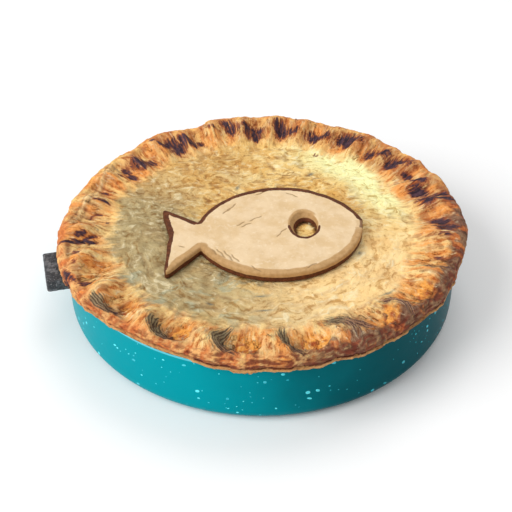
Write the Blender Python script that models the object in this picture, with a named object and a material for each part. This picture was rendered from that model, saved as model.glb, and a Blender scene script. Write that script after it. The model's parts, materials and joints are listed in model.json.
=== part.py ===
# Fish pie baked in a round enamelled steel dish. Lengths are in metres, +Z is up, and the origin is the
# centre of the dish's flat underside. The crust laps over the dish's rim, a cut-out pastry fish lies on
# the lid, and one short grip stands out of the wall at the left.
import math

import bmesh
import bpy
import numpy as np
from mathutils import Matrix

MM = 0.001
GAP = 0.3 * MM  # clearance between neighbouring solids

# Dish
DISH_RADIUS = 124.3 * MM  # outside of the wall
RIM_RADIUS = 125.0 * MM  # outside of the rolled rim
DISH_HEIGHT = 46.0 * MM
WALL = 2.5 * MM
DISH_CORNER = 9.0 * MM  # outside radius where the wall meets the base
RIM_ROLL = 2.6 * MM  # height of the rolled rim
DISH_STEPS = 72

# Grip on the wall
GRIP_ANGLE = 193.5  # degrees from +X
GRIP_REACH = 138.5 * MM  # distance of its end from the dish's axis
GRIP_WIDTH = 29.0 * MM
GRIP_THICKNESS = 9.0 * MM
GRIP_TOP = 40.0 * MM
GRIP_EDGE = 1.8 * MM  # rounding of its edges
GRIP_OVERLAP = 4.0 * MM  # how far the uncut block reaches into the wall's circle

# Pie: lid, crimped rim and body
LID_HEIGHT = 47.0 * MM
RIM_STEPS = 192  # points round the crimped rim
CRIMP_TWIST = 4.0  # degrees that a ridge leans at most between the rim and the lid
TWIST_ANGLE = 20.0  # degrees: where the ridges lean most; opposite to it they lean as much the other way
RIDGE_SHARPNESS = 1.5
CREST_HEIGHT = 52.4 * MM  # the rim's outer crest in the middle of a crimp
CREST_RISE = 1.6 * MM  # how much higher the crest is on a ridge
# Each thumb-pressed crimp, closer together at the back than at the front: its angle in degrees, and how far
# from the crimp before it to this one their ridge peaks
CRIMPS = (
    (3, 0.5), (16, 0.5), (26, 0.5), (36, 0.5), (46, 0.5), (57.5, 0.5), (69, 0.5), (80.5, 0.5), (91.5, 0.5),
    (102.5, 0.5), (114, 0.5), (124.5, 0.5), (136, 0.5), (147, 0.5), (161, 0.5), (177, 0.5), (191, 0.55),
    (205, 0.6), (222, 0.7), (240.5, 0.74), (261, 0.76), (279.5, 0.78), (301.5, 0.74), (319, 0.66), (340, 0.58),
)
# The crust's edge: angle, overhang past the dish's rim, height of its lower edge, change of crest height
EDGE = (
    (0, 4.6, 43.0, 0.0), (20, 4.8, 43.0, 0.3), (33, 3.8, 43.2, 0.0), (44, 2.4, 43.2, -0.6),
    (55, 3.8, 43.0, 0.4), (68, 2.2, 43.2, 0.0), (80, 2.8, 43.0, 0.6), (93, 2.0, 43.2, 0.0),
    (103, 3.2, 43.0, 0.6), (114, 1.6, 43.4, -3.0), (125, 3.2, 43.0, 0.2), (138, 1.6, 43.4, -2.6),
    (150, 1.7, 43.4, -1.8), (165, 1.5, 43.4, -2.8), (179, 1.7, 43.4, -2.2), (188, 3.2, 43.2, 0.0),
    (199, 4.4, 43.0, 0.4), (211, 4.0, 43.2, 0.0), (223, 2.4, 44.6, -0.4), (234, 1.6, 45.5, -0.5),
    (250, 1.6, 45.5, -0.4), (261, 2.6, 43.4, 0.3), (271, 2.4, 43.3, 0.0), (281, 2.9, 42.9, 0.3),
    (290, 1.8, 43.8, -0.6), (297, 2.9, 43.0, 0.4), (306, 1.8, 43.6, -0.5), (318, 2.6, 43.2, 0.2),
    (336, 2.4, 43.4, 0.0), (350, 3.8, 43.0, 0.0),
)
UNDER_CRUST = 1.8 * MM  # thickness of the lower pastry layer that shows at the edge
SLIT_DEPTH = 2.0 * MM  # gap between the two pastry layers
SLIT_MIDDLE = 285.0  # degrees: where the layers part most
SLIT_HEIGHT = 1.6 * MM
# Section through the crust's outer face, from the slit up: distance outside the edge, how much that wavers,
# share of the height up to the crest
OUTER_FACE = ((0.4, 0.5, 0.35), (-1.4, 0.3, 0.78), (-4.4, 0.0, 1.0))
# Section through the crimps, from the rim inwards: radius, height in a crimp, height on a ridge
CRIMP_SECTION = (
    (118.5, 50.4, 56.0), (114.5, 48.3, 56.2), (110.0, 47.3, 54.8),
    (105.5, 46.7, 52.2), (100.5, 46.4, 49.2), (95.5, 46.5, 47.3),
)
RIDGE_WAVER = 0.35 * MM  # unevenness of the crimps' height
LID_RINGS = (88.0, 76.0, 60.0, 42.0, 22.0)
LID_HOLLOW = 1.1 * MM  # deepest wrinkle of the lid
# The lid's wrinkles in millimetres and radians: wavelength shares along X and Y, phase, and the length and
# size of the sideways waver
WRINKLES = (
    (1 / 13, 0.0, 0.0, 31.0, 1.7), (0.0, 1 / 9, 1.2, 24.0, 1.2),
    (1 / 17, 1 / 17, 0.6, 31.0, 0.0), (1 / 21, -1.6 / 21, 2.2, 31.0, 0.0),
)

# Pastry fish
FISH_THICKNESS = 6.4 * MM
FISH_EDGE = 1.3 * MM  # rounding of its upper edge
FISH_NOSE = (64.5, -0.5)
BACK_NOTCH = (-40.0, -3.5)  # where the back meets the tail
BELLY_NOTCH = (-37.0, -29.5)  # where the belly meets the tail
BACK_RISE = 37.0  # height of the back's arc above its chord
BELLY_RISE = 40.0
TAIL_TOP = (-64.5, 11.5)
TAIL_MIDDLE = (-57.0, -16.0)
TAIL_BOTTOM = (-58.5, -56.0)
ARC_STEPS = 26
TIP_RADIUS = 2.6  # rounding of the tail's tips
NOSE_RADIUS = 6.0
EYE_CENTRE = (28.4, -5.6)  # middle of the hole at its foot
EYE_SIZE = (12.6, 18.8)  # width and length of the hole at its foot
EYE_FLARE = 1.42  # how many times larger the hole is at the top
EYE_LEAN = 1.4  # how far the hole leans towards the tail between foot and top
EYE_STEPS = 28


def clear_scene():
    for obj in list(bpy.data.objects):
        bpy.data.objects.remove(obj, do_unlink=True)


def material(name, colour, roughness, metallic=0.0):
    made = bpy.data.materials.new(name)
    made.use_nodes = True
    shader = made.node_tree.nodes["Principled BSDF"]
    shader.inputs["Base Color"].default_value = (*colour, 1.0)
    shader.inputs["Roughness"].default_value = roughness
    shader.inputs["Metallic"].default_value = metallic
    return made


def add_object(name, bm, finish, smooth_angle=40.0):
    bmesh.ops.recalc_face_normals(bm, faces=bm.faces)
    mesh = bpy.data.meshes.new(name)
    bm.to_mesh(mesh)
    bm.free()
    mesh.shade_smooth()
    mesh.set_sharp_from_angle(angle=math.radians(smooth_angle))
    mesh.materials.append(finish)
    obj = bpy.data.objects.new(name, mesh)
    bpy.context.scene.collection.objects.link(obj)
    return obj


def arc(centre, radius, start, end, steps):
    """Points (x, z) on an arc, angles in degrees."""
    return [
        (centre[0] + radius * math.cos(a), centre[1] + radius * math.sin(a))
        for a in np.radians(np.linspace(start, end, steps + 1))
    ]


def dish_profile():
    """The dish's section at +X: base, wall, rolled rim, inside wall and floor."""
    inner = DISH_RADIUS - WALL
    corner_in = DISH_CORNER - WALL
    roll_centre = DISH_HEIGHT - RIM_ROLL / 2
    outside = [(0.0, 0.0)] + arc((DISH_RADIUS - DISH_CORNER, DISH_CORNER), DISH_CORNER, -90, 0, 4)
    roll = arc((RIM_RADIUS - RIM_ROLL / 2, roll_centre), RIM_ROLL / 2, -40, 130, 5)
    neck = [(DISH_RADIUS, DISH_HEIGHT - 1.5 * RIM_ROLL)]
    throat = [(inner, DISH_HEIGHT - RIM_ROLL)]
    inside = arc((inner - corner_in, WALL + corner_in), corner_in, 0, -90, 3) + [(0.0, WALL)]
    return outside + neck + roll + throat + inside


def make_dish(finish):
    bm = bmesh.new()
    points = [bm.verts.new((x, 0.0, z)) for x, z in dish_profile()]
    edges = [bm.edges.new(pair) for pair in zip(points, points[1:])]
    bmesh.ops.spin(
        bm, geom=points + edges, axis=(0, 0, 1), cent=(0, 0, 0), dvec=(0, 0, 0),
        angle=math.tau, steps=DISH_STEPS, use_merge=True,
    )
    bmesh.ops.remove_doubles(bm, verts=bm.verts, dist=1e-6)
    return add_object("dish", bm, finish)


def between(degrees, column):
    """One column of EDGE at these angles, eased from each entry to the next and closed round the rim."""
    angles = np.array([row[0] for row in EDGE] + [360.0 + EDGE[0][0]])
    values = np.array([row[column] for row in EDGE] + [EDGE[0][column]])
    place = np.interp(np.mod(degrees, 360.0), angles, np.arange(len(angles)))
    step = np.minimum(place.astype(int), len(EDGE) - 1)
    ease = (1 - np.cos(math.pi * (place - step))) / 2
    return values[step] * (1 - ease) + values[step + 1] * ease


def ridge_share(degrees):
    """0 in the middle of a crimp, 1 on the ridge between two crimps."""
    angles = np.array([row[0] for row in CRIMPS] + [CRIMPS[0][0] + 360.0])
    peaks = np.array([row[1] for row in CRIMPS] + [CRIMPS[0][1]])
    turned = np.mod(degrees - angles[0], 360.0) + angles[0]
    after = np.clip(np.searchsorted(angles, turned, side="right"), 1, len(CRIMPS))
    share = (turned - angles[after - 1]) / (angles[after] - angles[after - 1])
    peak = peaks[after]
    climb = np.where(share < peak, share / peak, (1 - share) / (1 - peak))
    return ((1 - np.cos(math.pi * climb)) / 2) ** RIDGE_SHARPNESS


def uneven(degrees, order):
    """A slow wave of about -1 to 1 that closes round the rim; order picks which one."""
    a = np.radians(degrees)
    return (
        np.sin((5 + order) * a + 1.3 * order) + np.sin((11 + 2 * order) * a + 2.1 * order)
        + np.sin((23 - order) * a + 0.7 * order)
    ) / 3


def edge_rings(degrees):
    """Rings (radius, height) of the crust's lip and outer face, from the lip's inner corner upwards."""
    edge = RIM_RADIUS + between(degrees, 1) * MM
    lip = between(degrees, 2) * MM
    parting = 0.35 + 0.65 * np.clip(np.cos(np.radians(degrees - SLIT_MIDDLE)), 0, 1)
    layer = lip + UNDER_CRUST
    top = CREST_HEIGHT + between(degrees, 3) * MM + CREST_RISE * ridge_share(degrees)
    flank = layer + SLIT_HEIGHT
    slit_mouth = edge - 0.25 * SLIT_DEPTH
    rings = [
        (np.full_like(degrees, RIM_RADIUS + GAP), lip),
        (edge - 0.4 * UNDER_CRUST, lip),
        (edge, lip + 0.5 * UNDER_CRUST),
        (slit_mouth, layer),
        (slit_mouth - 0.5 * SLIT_DEPTH * parting, layer + 0.4 * SLIT_HEIGHT),
        (slit_mouth, flank),
    ]
    for order, (offset, waver, climb) in enumerate(OUTER_FACE, start=1):
        radius = edge + (offset + waver * uneven(degrees, order)) * MM
        rings.append((radius, flank + climb * (top - flank)))
    return rings


def crimp_rings(degrees):
    """Rings over the crimps, from the rim inwards to the lid."""
    crest = between(degrees, 3) * MM
    lean = CRIMP_TWIST * np.cos(np.radians(degrees - TWIST_ANGLE))
    outer, inner = CRIMP_SECTION[0][0], CRIMP_SECTION[-1][0]
    rings = []
    for radius, hollow, ridge in CRIMP_SECTION:
        inward = (outer - radius) / (outer - inner)
        share = ridge_share(degrees - lean * inward)
        height = hollow * MM + crest * (1 - inward) + (ridge - hollow) * MM * share
        height += RIDGE_WAVER * uneven(degrees, len(OUTER_FACE) + len(rings)) * (1 - inward)
        rings.append((np.full_like(degrees, radius * MM), height))
    return rings


def lid_height(x, y):
    """The lid's uneven surface, never above LID_HEIGHT, where the fish rests."""
    u, v = x / MM, y / MM
    wave = sum(
        np.sin(along * u + across * v + phase + waver * np.sin((u if across else v) / length + phase))
        for along, across, phase, length, waver in WRINKLES
    )
    return LID_HEIGHT - LID_HOLLOW * (0.5 - 0.5 * wave / len(WRINKLES))


def body_rings(degrees):
    """Rings of the body inside the dish, from its base up to where the crust turns out over the rim."""
    radius = DISH_RADIUS - WALL - GAP
    corner = DISH_CORNER - WALL
    floor = WALL + GAP
    rise = DISH_HEIGHT + GAP
    section = arc((radius - corner, floor + corner), corner, -90, 0, 2)
    section += [(radius, rise), (RIM_RADIUS + GAP, rise)]
    return [(np.full_like(degrees, r), np.full_like(degrees, z)) for r, z in section]


def ring_of_points(bm, degrees, radius, height):
    a = np.radians(degrees)
    return [
        bm.verts.new(point)
        for point in zip(radius * np.cos(a), radius * np.sin(a), height)
    ]


def bridge(bm, lower, upper):
    """Quads between two rings, or triangles and quads where the upper ring has half as many points."""
    n, m = len(lower), len(upper)
    for k in range(m):
        if n == m:
            bm.faces.new((lower[k], lower[(k + 1) % n], upper[(k + 1) % m], upper[k]))
        else:
            a, b, c = lower[2 * k], lower[2 * k + 1], lower[(2 * k + 2) % n]
            bm.faces.new((a, b, upper[k]))
            bm.faces.new((b, c, upper[(k + 1) % m], upper[k]))


def make_pie(finish):
    bm = bmesh.new()
    degrees = np.arange(RIM_STEPS) * 360.0 / RIM_STEPS
    rings = [
        ring_of_points(bm, degrees, radius, height)
        for radius, height in body_rings(degrees) + edge_rings(degrees) + crimp_rings(degrees)
    ]
    coarse = degrees[::2]
    a = np.radians(coarse)
    for radius in LID_RINGS:
        r = radius * MM
        height = lid_height(r * np.cos(a), r * np.sin(a))
        rings.append(ring_of_points(bm, coarse, np.full_like(coarse, r), height))
    for lower, upper in zip(rings, rings[1:]):
        bridge(bm, lower, upper)
    middle = bm.verts.new((0.0, 0.0, float(lid_height(0.0, 0.0))))
    last = rings[-1]
    for k in range(len(last)):
        bm.faces.new((last[k], last[(k + 1) % len(last)], middle))
    bm.faces.new(list(reversed(rings[0])))
    return add_object("pie", bm, finish)


def bow(start, end, rise, steps):
    """Points from start to end on the circular arc that rises this far to the left of its chord."""
    start, end = np.array(start), np.array(end)
    chord = end - start
    half = np.linalg.norm(chord) / 2
    along = chord / (2 * half)
    side = np.array([-along[1], along[0]])
    radius = (half**2 + rise**2) / (2 * rise)
    centre = (start + end) / 2 + side * (rise - radius)
    sweep = math.atan2(half, radius - rise)
    turns = np.linspace(-sweep, sweep, steps + 1)
    return [tuple(centre + radius * (np.sin(t) * along + np.cos(t) * side)) for t in turns]


def rounded(before, tip, after, radius, steps=3):
    """Points that round the corner at tip between its two neighbours."""
    tip = np.array(tip)
    to_before = np.array(before) - tip
    to_after = np.array(after) - tip
    to_before /= np.linalg.norm(to_before)
    to_after /= np.linalg.norm(to_after)
    reach = radius / math.tan(math.acos(np.dot(to_before, to_after)) / 2)
    first = tip + to_before * reach
    last = tip + to_after * reach
    return [
        tuple((1 - t) ** 2 * first + 2 * t * (1 - t) * tip + t**2 * last)
        for t in np.linspace(0, 1, steps + 1)
    ]


def fish_outline():
    """The fish seen from above, in millimetres: back, nose, belly and forked tail."""
    back = bow(BACK_NOTCH, FISH_NOSE, BACK_RISE, ARC_STEPS)
    belly = bow(FISH_NOSE, BELLY_NOTCH, BELLY_RISE, ARC_STEPS)
    nose = rounded(back[-2], FISH_NOSE, belly[1], NOSE_RADIUS)
    lower = rounded(BELLY_NOTCH, TAIL_BOTTOM, TAIL_MIDDLE, TIP_RADIUS)
    upper = rounded(TAIL_MIDDLE, TAIL_TOP, BACK_NOTCH, TIP_RADIUS)
    return back[:-2] + nose + belly[2:] + lower + [TAIL_MIDDLE] + upper


def make_fish(finish):
    base = LID_HEIGHT + GAP
    bm = bmesh.new()
    outline = [bm.verts.new((x * MM, y * MM, base)) for x, y in fish_outline()]
    face = bm.faces.new(outline)
    lifted = bmesh.ops.extrude_face_region(bm, geom=[face])["geom"]
    top = [v for v in lifted if isinstance(v, bmesh.types.BMVert)]
    bmesh.ops.translate(bm, verts=top, vec=(0, 0, FISH_THICKNESS))
    rim = [e for e in bm.edges if all(v in set(top) for v in e.verts)]
    bmesh.ops.bevel(
        bm, geom=rim, offset=FISH_EDGE, segments=2, profile=0.5, affect="EDGES", clamp_overlap=True
    )
    fish = add_object("pastry_fish", bm, finish)

    # The hole flares upwards, so its cutter is a cone that reaches one thickness past either face
    hole = bmesh.new()
    flare = EYE_FLARE - 1
    bmesh.ops.create_cone(
        hole, cap_ends=True, segments=EYE_STEPS, radius1=0.5 * (1 - flare), radius2=0.5 * (EYE_FLARE + flare),
        depth=3 * FISH_THICKNESS,
    )
    bmesh.ops.scale(hole, verts=hole.verts, vec=(EYE_SIZE[0] * MM, EYE_SIZE[1] * MM, 1.0))
    for vert in hole.verts:
        vert.co.x -= EYE_LEAN * MM * (0.5 + vert.co.z / FISH_THICKNESS)
    bmesh.ops.translate(
        hole, verts=hole.verts, vec=(EYE_CENTRE[0] * MM, EYE_CENTRE[1] * MM, base + FISH_THICKNESS / 2)
    )
    cutter = add_object("eye_cutter", hole, finish)
    cutter.hide_render = True
    cutter.display_type = "WIRE"
    cut = fish.modifiers.new("eye", "BOOLEAN")
    cut.operation = "DIFFERENCE"
    cut.object = cutter
    return fish


def make_grip(finish):
    """A short block on the wall, its inner face curved to the dish."""
    inner = DISH_RADIUS - GRIP_OVERLAP
    length = GRIP_REACH - inner
    bm = bmesh.new()
    bmesh.ops.create_cube(bm, size=1.0)
    bmesh.ops.scale(bm, verts=bm.verts, vec=(length, GRIP_WIDTH, GRIP_THICKNESS))
    bmesh.ops.bevel(
        bm, geom=bm.edges, offset=GRIP_EDGE, segments=3, profile=0.5, affect="EDGES"
    )
    bmesh.ops.translate(
        bm, verts=bm.verts, vec=(inner + length / 2, 0, GRIP_TOP - GRIP_THICKNESS / 2)
    )
    turn = Matrix.Rotation(math.radians(GRIP_ANGLE), 3, "Z")
    bmesh.ops.rotate(bm, verts=bm.verts, cent=(0, 0, 0), matrix=turn)
    grip = add_object("grip", bm, finish)

    ring = bmesh.new()
    reach = DISH_RADIUS + GAP
    bmesh.ops.create_cone(
        ring, cap_ends=True, segments=2 * DISH_STEPS, radius1=reach, radius2=reach, depth=4 * DISH_HEIGHT
    )
    cutter = add_object("wall_cutter", ring, finish)
    cutter.hide_render = True
    cutter.display_type = "WIRE"
    cut = grip.modifiers.new("wall", "BOOLEAN")
    cut.operation = "DIFFERENCE"
    cut.object = cutter
    return grip


clear_scene()
make_dish(material("enamel", (0.0, 0.36, 0.40), 0.22))
make_grip(material("grip_iron", (0.10, 0.10, 0.11), 0.55))
make_pie(material("crust", (0.86, 0.60, 0.30), 0.70))
make_fish(material("fish_pastry", (0.92, 0.79, 0.58), 0.75))
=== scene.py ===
# Fish pie in its enamelled dish: the looks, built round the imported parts.
# Sizes in the settings are millimetres and degrees, and meshes are metres. Angles turn from +X towards +Y.
import json
import math

import bmesh
import bpy
import numpy as np
from mathutils import Matrix, Vector, noise

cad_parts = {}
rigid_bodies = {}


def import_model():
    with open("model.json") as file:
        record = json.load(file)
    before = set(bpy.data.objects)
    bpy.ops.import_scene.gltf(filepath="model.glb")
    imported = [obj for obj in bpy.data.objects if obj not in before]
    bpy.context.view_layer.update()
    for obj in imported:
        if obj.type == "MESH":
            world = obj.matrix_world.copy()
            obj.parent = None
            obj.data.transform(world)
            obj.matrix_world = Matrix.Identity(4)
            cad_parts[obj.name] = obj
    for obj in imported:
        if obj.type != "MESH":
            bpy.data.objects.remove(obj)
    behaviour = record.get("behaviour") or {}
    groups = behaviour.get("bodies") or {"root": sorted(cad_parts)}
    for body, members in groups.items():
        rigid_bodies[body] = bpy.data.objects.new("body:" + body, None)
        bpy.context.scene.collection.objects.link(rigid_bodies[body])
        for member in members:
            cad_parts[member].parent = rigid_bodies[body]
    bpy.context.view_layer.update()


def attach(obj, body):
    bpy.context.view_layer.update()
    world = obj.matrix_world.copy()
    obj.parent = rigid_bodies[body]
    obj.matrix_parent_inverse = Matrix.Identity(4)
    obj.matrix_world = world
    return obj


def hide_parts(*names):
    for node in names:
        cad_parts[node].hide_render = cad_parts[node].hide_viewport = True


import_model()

mm = 0.001
scene = bpy.context.scene


# Small tools

def tone(red, green, blue):  # a colour as it shows on a screen, 0 to 255, made linear
    share = np.array([red, green, blue]) / 255
    return np.where(share <= 0.04045, share / 12.92, ((share + 0.055) / 1.055) ** 2.4)


def shade(*colour):  # the same for a socket
    return (*[float(c) for c in tone(*colour)], 1.0)


def smooth(low, high, value):
    share = np.clip((value - low) / (high - low), 0, 1)
    return share * share * (3 - 2 * share)


def apart(first, second):  # signed degrees from the second angle to the first
    return (first - second + 180) % 360 - 180


def near(degrees, middle, far, close):  # 0 as far as this from the middle angle, 1 as close as this
    return smooth(far, close, np.abs(apart(degrees, middle)))


def mixed(first, second, share):
    share = np.asarray(share)[..., None]
    return first * (1 - share) + second * share


def painted(base, *layers):  # each colour over the last, by its share
    for colour, share in layers:
        base = mixed(base, colour, share)
    return base


def cloud(points, size, seed, octaves=4, ridged=False):  # soft noise about 0, or ridged noise from 0 to 1
    shift = Vector((seed * 17.3, seed * 5.9, seed * 11.1))
    spots = (Vector(p) + shift for p in points / size)
    falloff, spacing = 0.9, 2.1
    if ridged:
        values = (noise.ridged_multi_fractal(p, falloff, spacing, octaves, 0.9, 2.0) / 2 for p in spots)
    else:
        values = (noise.fractal(p, falloff, spacing, octaves) for p in spots)
    return np.fromiter(values, float, len(points))


def lineThrough(points, x, y, direction):  # distances along and across a line through x, y
    c, s = math.cos(math.radians(direction)), math.sin(math.radians(direction))
    fromX, fromY = points[:, 0] - x, points[:, 1] - y
    return fromX * c + fromY * s, fromY * c - fromX * s


def nearestOn(points, line):  # nearest place on a line: distance, way along it, side distance, normal
    best, way, side = np.full(len(points), 1e9), np.zeros(len(points)), np.zeros(len(points))
    normal = np.zeros((len(points), 2))
    for k, (a, b) in enumerate(zip(line, line[1:])):
        a, b = np.array(a), np.array(b)
        run = b - a
        share = np.clip(((points - a) @ run) / (run @ run), 0, 1)
        gap = points - (a + share[:, None] * run)
        distance = np.linalg.norm(gap, axis=1)
        nearer = distance < best
        best = np.where(nearer, distance, best)
        way = np.where(nearer, (k + share) / (len(line) - 1), way)
        side = np.where(nearer, distance * np.sign(run[0] * gap[:, 1] - run[1] * gap[:, 0]), side)
        normal[nearer] = np.array([-run[1], run[0]]) / np.linalg.norm(run)
    return best, way, side, normal


def node(tree, kind, values=None, **settings):  # adds a node; a value is a number, a colour or another socket
    made = tree.nodes.new(kind)
    for key, value in settings.items():
        setattr(made, key, value)
    for key, value in (values or {}).items():
        if isinstance(value, bpy.types.NodeSocket):
            tree.links.new(value, made.inputs[key])
        else:
            made.inputs[key].default_value = value
    return made


def blend(tree, share, first, second, way="MIX"):
    values = {0: share, 6: first, 7: second}
    return node(tree, "ShaderNodeMix", values, data_type="RGBA", blend_type=way).outputs[2]


def between(tree, share, first, second):  # blends two numbers
    return node(tree, "ShaderNodeMix", {0: share, 2: first, 3: second}, data_type="FLOAT").outputs[0]


def band(tree, value, low, high, start=0.0, end=1.0):
    values = {0: value, 1: low, 2: high, 3: start, 4: end}
    return node(tree, "ShaderNodeMapRange", values, interpolation_type="SMOOTHSTEP").outputs[0]


def calc(tree, way, first, second=0.0):
    return node(tree, "ShaderNodeMath", {0: first, 1: second}, operation=way).outputs[0]


def vector(tree, way, first, second=(0.0, 0.0, 0.0)):
    values = {0: first, 3 if way == "SCALE" else 1: second}
    made = node(tree, "ShaderNodeVectorMath", values, operation=way)
    return made.outputs["Value" if way in ("LENGTH", "DOT_PRODUCT") else "Vector"]


def combined(tree, x=0.0, y=0.0, z=0.0):
    return node(tree, "ShaderNodeCombineXYZ", {0: x, 1: y, 2: z}).outputs[0]


def separated(tree, value):
    return node(tree, "ShaderNodeSeparateXYZ", {0: value}).outputs


def texture(tree, place, scale, detail, roughness=0.5, distortion=0.0):
    values = {0: place, "Scale": scale, "Detail": detail, "Roughness": roughness, "Distortion": distortion}
    return node(tree, "ShaderNodeTexNoise", values).outputs


def attribute(tree, name):
    return node(tree, "ShaderNodeAttribute", attribute_name=name).outputs["Fac"]


def newMaterial(name, roughness, specular):  # also gives the object's coordinates
    made = bpy.data.materials.new(name)
    made.use_nodes = True
    tree = made.node_tree
    shader = tree.nodes["Principled BSDF"]
    shader.inputs["Roughness"].default_value = roughness
    shader.inputs["Specular IOR Level"].default_value = specular
    return made, tree, shader, node(tree, "ShaderNodeTexCoord").outputs["Object"]


def wire(tree, shader, colour, height, strength, distance):  # the colour and the fine relief
    bump = node(tree, "ShaderNodeBump", {"Height": height, "Strength": strength, "Distance": distance * mm})
    tree.links.new(colour, shader.inputs["Base Color"])
    tree.links.new(bump.outputs[0], shader.inputs["Normal"])


def addObject(name, data):
    made = bpy.data.objects.new(name, data)
    scene.collection.objects.link(made)
    return made


def plainMesh(name, bm):
    mesh = bpy.data.meshes.new(name)
    bm.to_mesh(mesh)
    bm.free()
    return mesh


def store(mesh, name, values, kind="FLOAT"):
    data = mesh.attributes.new(name, kind, "POINT").data
    data.foreach_set("color" if kind == "FLOAT_COLOR" else "value", np.ravel(values).astype(np.float32))


def addPiece(name, mesh, slot, *replaced):  # puts a finished mesh on the part's one body
    for poly in mesh.polygons:
        poly.use_smooth = True
    piece = addObject(name, mesh)
    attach(piece, "root")
    if replaced:
        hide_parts(*replaced)
    print(f"{name}: {sum(len(p.vertices) - 2 for p in mesh.polygons)} triangles")
    return piece


def evaluated(piece):  # the mesh that the modifiers leave; the working object is removed
    bpy.context.view_layer.update()
    graph = bpy.context.evaluated_depsgraph_get()
    result = piece.evaluated_get(graph)
    mesh = bpy.data.meshes.new_from_object(result, preserve_all_data_layers=True, depsgraph=graph)
    bpy.data.objects.remove(piece, do_unlink=True)
    return mesh


# Camera, floor and lights

view = {
    "distance": 681.5, "elevation": 38.89, "targetHeight": 19.5,
    "lens": 73.1, "shiftX": -0.0104, "shiftY": 0.0081,
}
lamps = {  # azimuth, elevation, distance in metres, size in metres, watts
    "key": (205, 38, 3.0, 2.2, 66.0),
    "fill": (300, 45, 3.0, 2.4, 12.0),
    "back": (70, 58, 3.0, 2.0, 24.0),
}
room = {"floor": (250, 250, 250), "sky": (255, 255, 255), "skyStrength": 0.44, "floorSize": 6000.0}


def setStage():
    lens = bpy.data.cameras.new("camera")
    lens.lens = view["lens"]
    lens.shift_x = view["shiftX"]
    lens.shift_y = view["shiftY"]
    lens.dof.use_dof = False
    camera = addObject("camera", lens)
    tilt = math.radians(view["elevation"])
    away = view["distance"] * mm
    camera.location = (0, -away * math.cos(tilt), view["targetHeight"] * mm + away * math.sin(tilt))
    camera.rotation_euler = (math.pi / 2 - tilt, 0, 0)
    scene.camera = camera

    for name, (azimuth, elevation, distance, size, power) in lamps.items():
        light = bpy.data.lights.new(name, "AREA")
        light.shape = "DISK"
        light.size = size
        light.energy = power
        lamp = addObject(name, light)
        turn, rise = math.radians(azimuth), math.radians(elevation)
        out = Vector((math.cos(turn) * math.cos(rise), math.sin(turn) * math.cos(rise), math.sin(rise)))
        lamp.location = out * distance
        lamp.rotation_euler = out.to_track_quat("Z", "Y").to_euler()

    sky = bpy.data.worlds.new("sky")
    sky.use_nodes = True
    air = sky.node_tree.nodes["Background"]
    air.inputs["Color"].default_value = shade(*room["sky"])
    air.inputs["Strength"].default_value = room["skyStrength"]
    scene.world = sky
    scene.view_settings.view_transform = "Standard"

    finish, _, shader, _ = newMaterial("paleFloor", 0.9, 0.1)
    shader.inputs["Base Color"].default_value = shade(*room["floor"])
    sheet = bmesh.new()
    bmesh.ops.create_grid(sheet, x_segments=1, y_segments=1, size=room["floorSize"] * mm / 2)
    mesh = plainMesh("floor", sheet)
    mesh.materials.append(finish)
    floor = addObject("floor", mesh)
    print("stage set")


setStage()


# The pastry fish's outline

fish = {
    "base": 47.3, "thickness": 6.4, "edgeRound": 1.5, "voxel": 0.62,
    "nose": (64.5, -0.5), "noseRound": 6.0, "backNotch": (-40.0, -3.5), "bellyNotch": (-37.0, -29.5),
    "backRise": 37.0, "bellyRise": 40.0, "tailTop": (-64.5, 11.5), "tailMiddle": (-57.0, -16.0),
    "tailBottom": (-58.5, -56.0), "tipRound": 2.6, "arcSteps": 60,
    "eye": (28.4, -5.6), "eyeSize": (12.6, 18.8), "eyeFlare": 1.42, "eyeLean": 1.4,
    "cream": (232, 204, 164), "creamShade": (220, 188, 142), "pale": (250, 232, 204),
    "tan": (196, 156, 106), "tanShade": (182, 142, 92), "crack": (150, 118, 78),
    "toast": (84, 44, 24), "toastShade": (112, 62, 34),
}
# Fine cracks in the fish's top: middle x, y, direction, length
cracks = (
    (-22, 8.3, 51, 9.5), (-19.2, 12.1, 52, 11), (-23.9, 18.1, 30, 6.5), (-12.8, -5.6, 40, 8),
    (-9.6, -6.7, 35, 9), (-3.7, 0.2, 34, 11), (-48.9, -28.9, 175, 5.5), (-28.5, -34, 123, 8),
    (-24.5, -35.5, 123, 12), (-20, -37.9, 123, 13), (-15.8, -40.3, 126, 10), (-3.2, -50.4, 137, 9.5),
    (13.9, -12.4, 54, 7.5), (11, -17, 63, 6), (20, 26, 148, 10.5), (0.1, 28.2, 34, 10),
    (-1.1, -57.8, 132, 6), (30.4, -47, 38, 9), (-56, 3, 130, 6),
)


def bow(start, end, rise, steps):  # an arc over the chord, left of its direction
    start, end = np.array(start), np.array(end)
    chord = end - start
    half = np.linalg.norm(chord) / 2
    along = chord / (2 * half)
    side = np.array([-along[1], along[0]])
    radius = (half ** 2 + rise ** 2) / (2 * rise)
    centre = (start + end) / 2 + side * (rise - radius)
    reach = math.atan2(half, radius - rise)
    turns = np.linspace(-reach, reach, steps + 1)
    return [tuple(centre + radius * (np.sin(t) * along + np.cos(t) * side)) for t in turns]


def bent(first, bend, last, steps):  # points along a curve that is drawn towards the bend
    ways = np.linspace(0, 1, steps + 1)
    return [(1 - t) ** 2 * first + 2 * t * (1 - t) * bend + t ** 2 * last for t in ways]


def rounded(before, tip, after, radius, steps=6):
    tip = np.array(tip)
    toBefore, toAfter = np.array(before) - tip, np.array(after) - tip
    toBefore /= np.linalg.norm(toBefore)
    toAfter /= np.linalg.norm(toAfter)
    reach = radius / math.tan(math.acos(np.dot(toBefore, toAfter)) / 2)
    return [tuple(point) for point in bent(tip + toBefore * reach, tip, tip + toAfter * reach, steps)]


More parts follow.
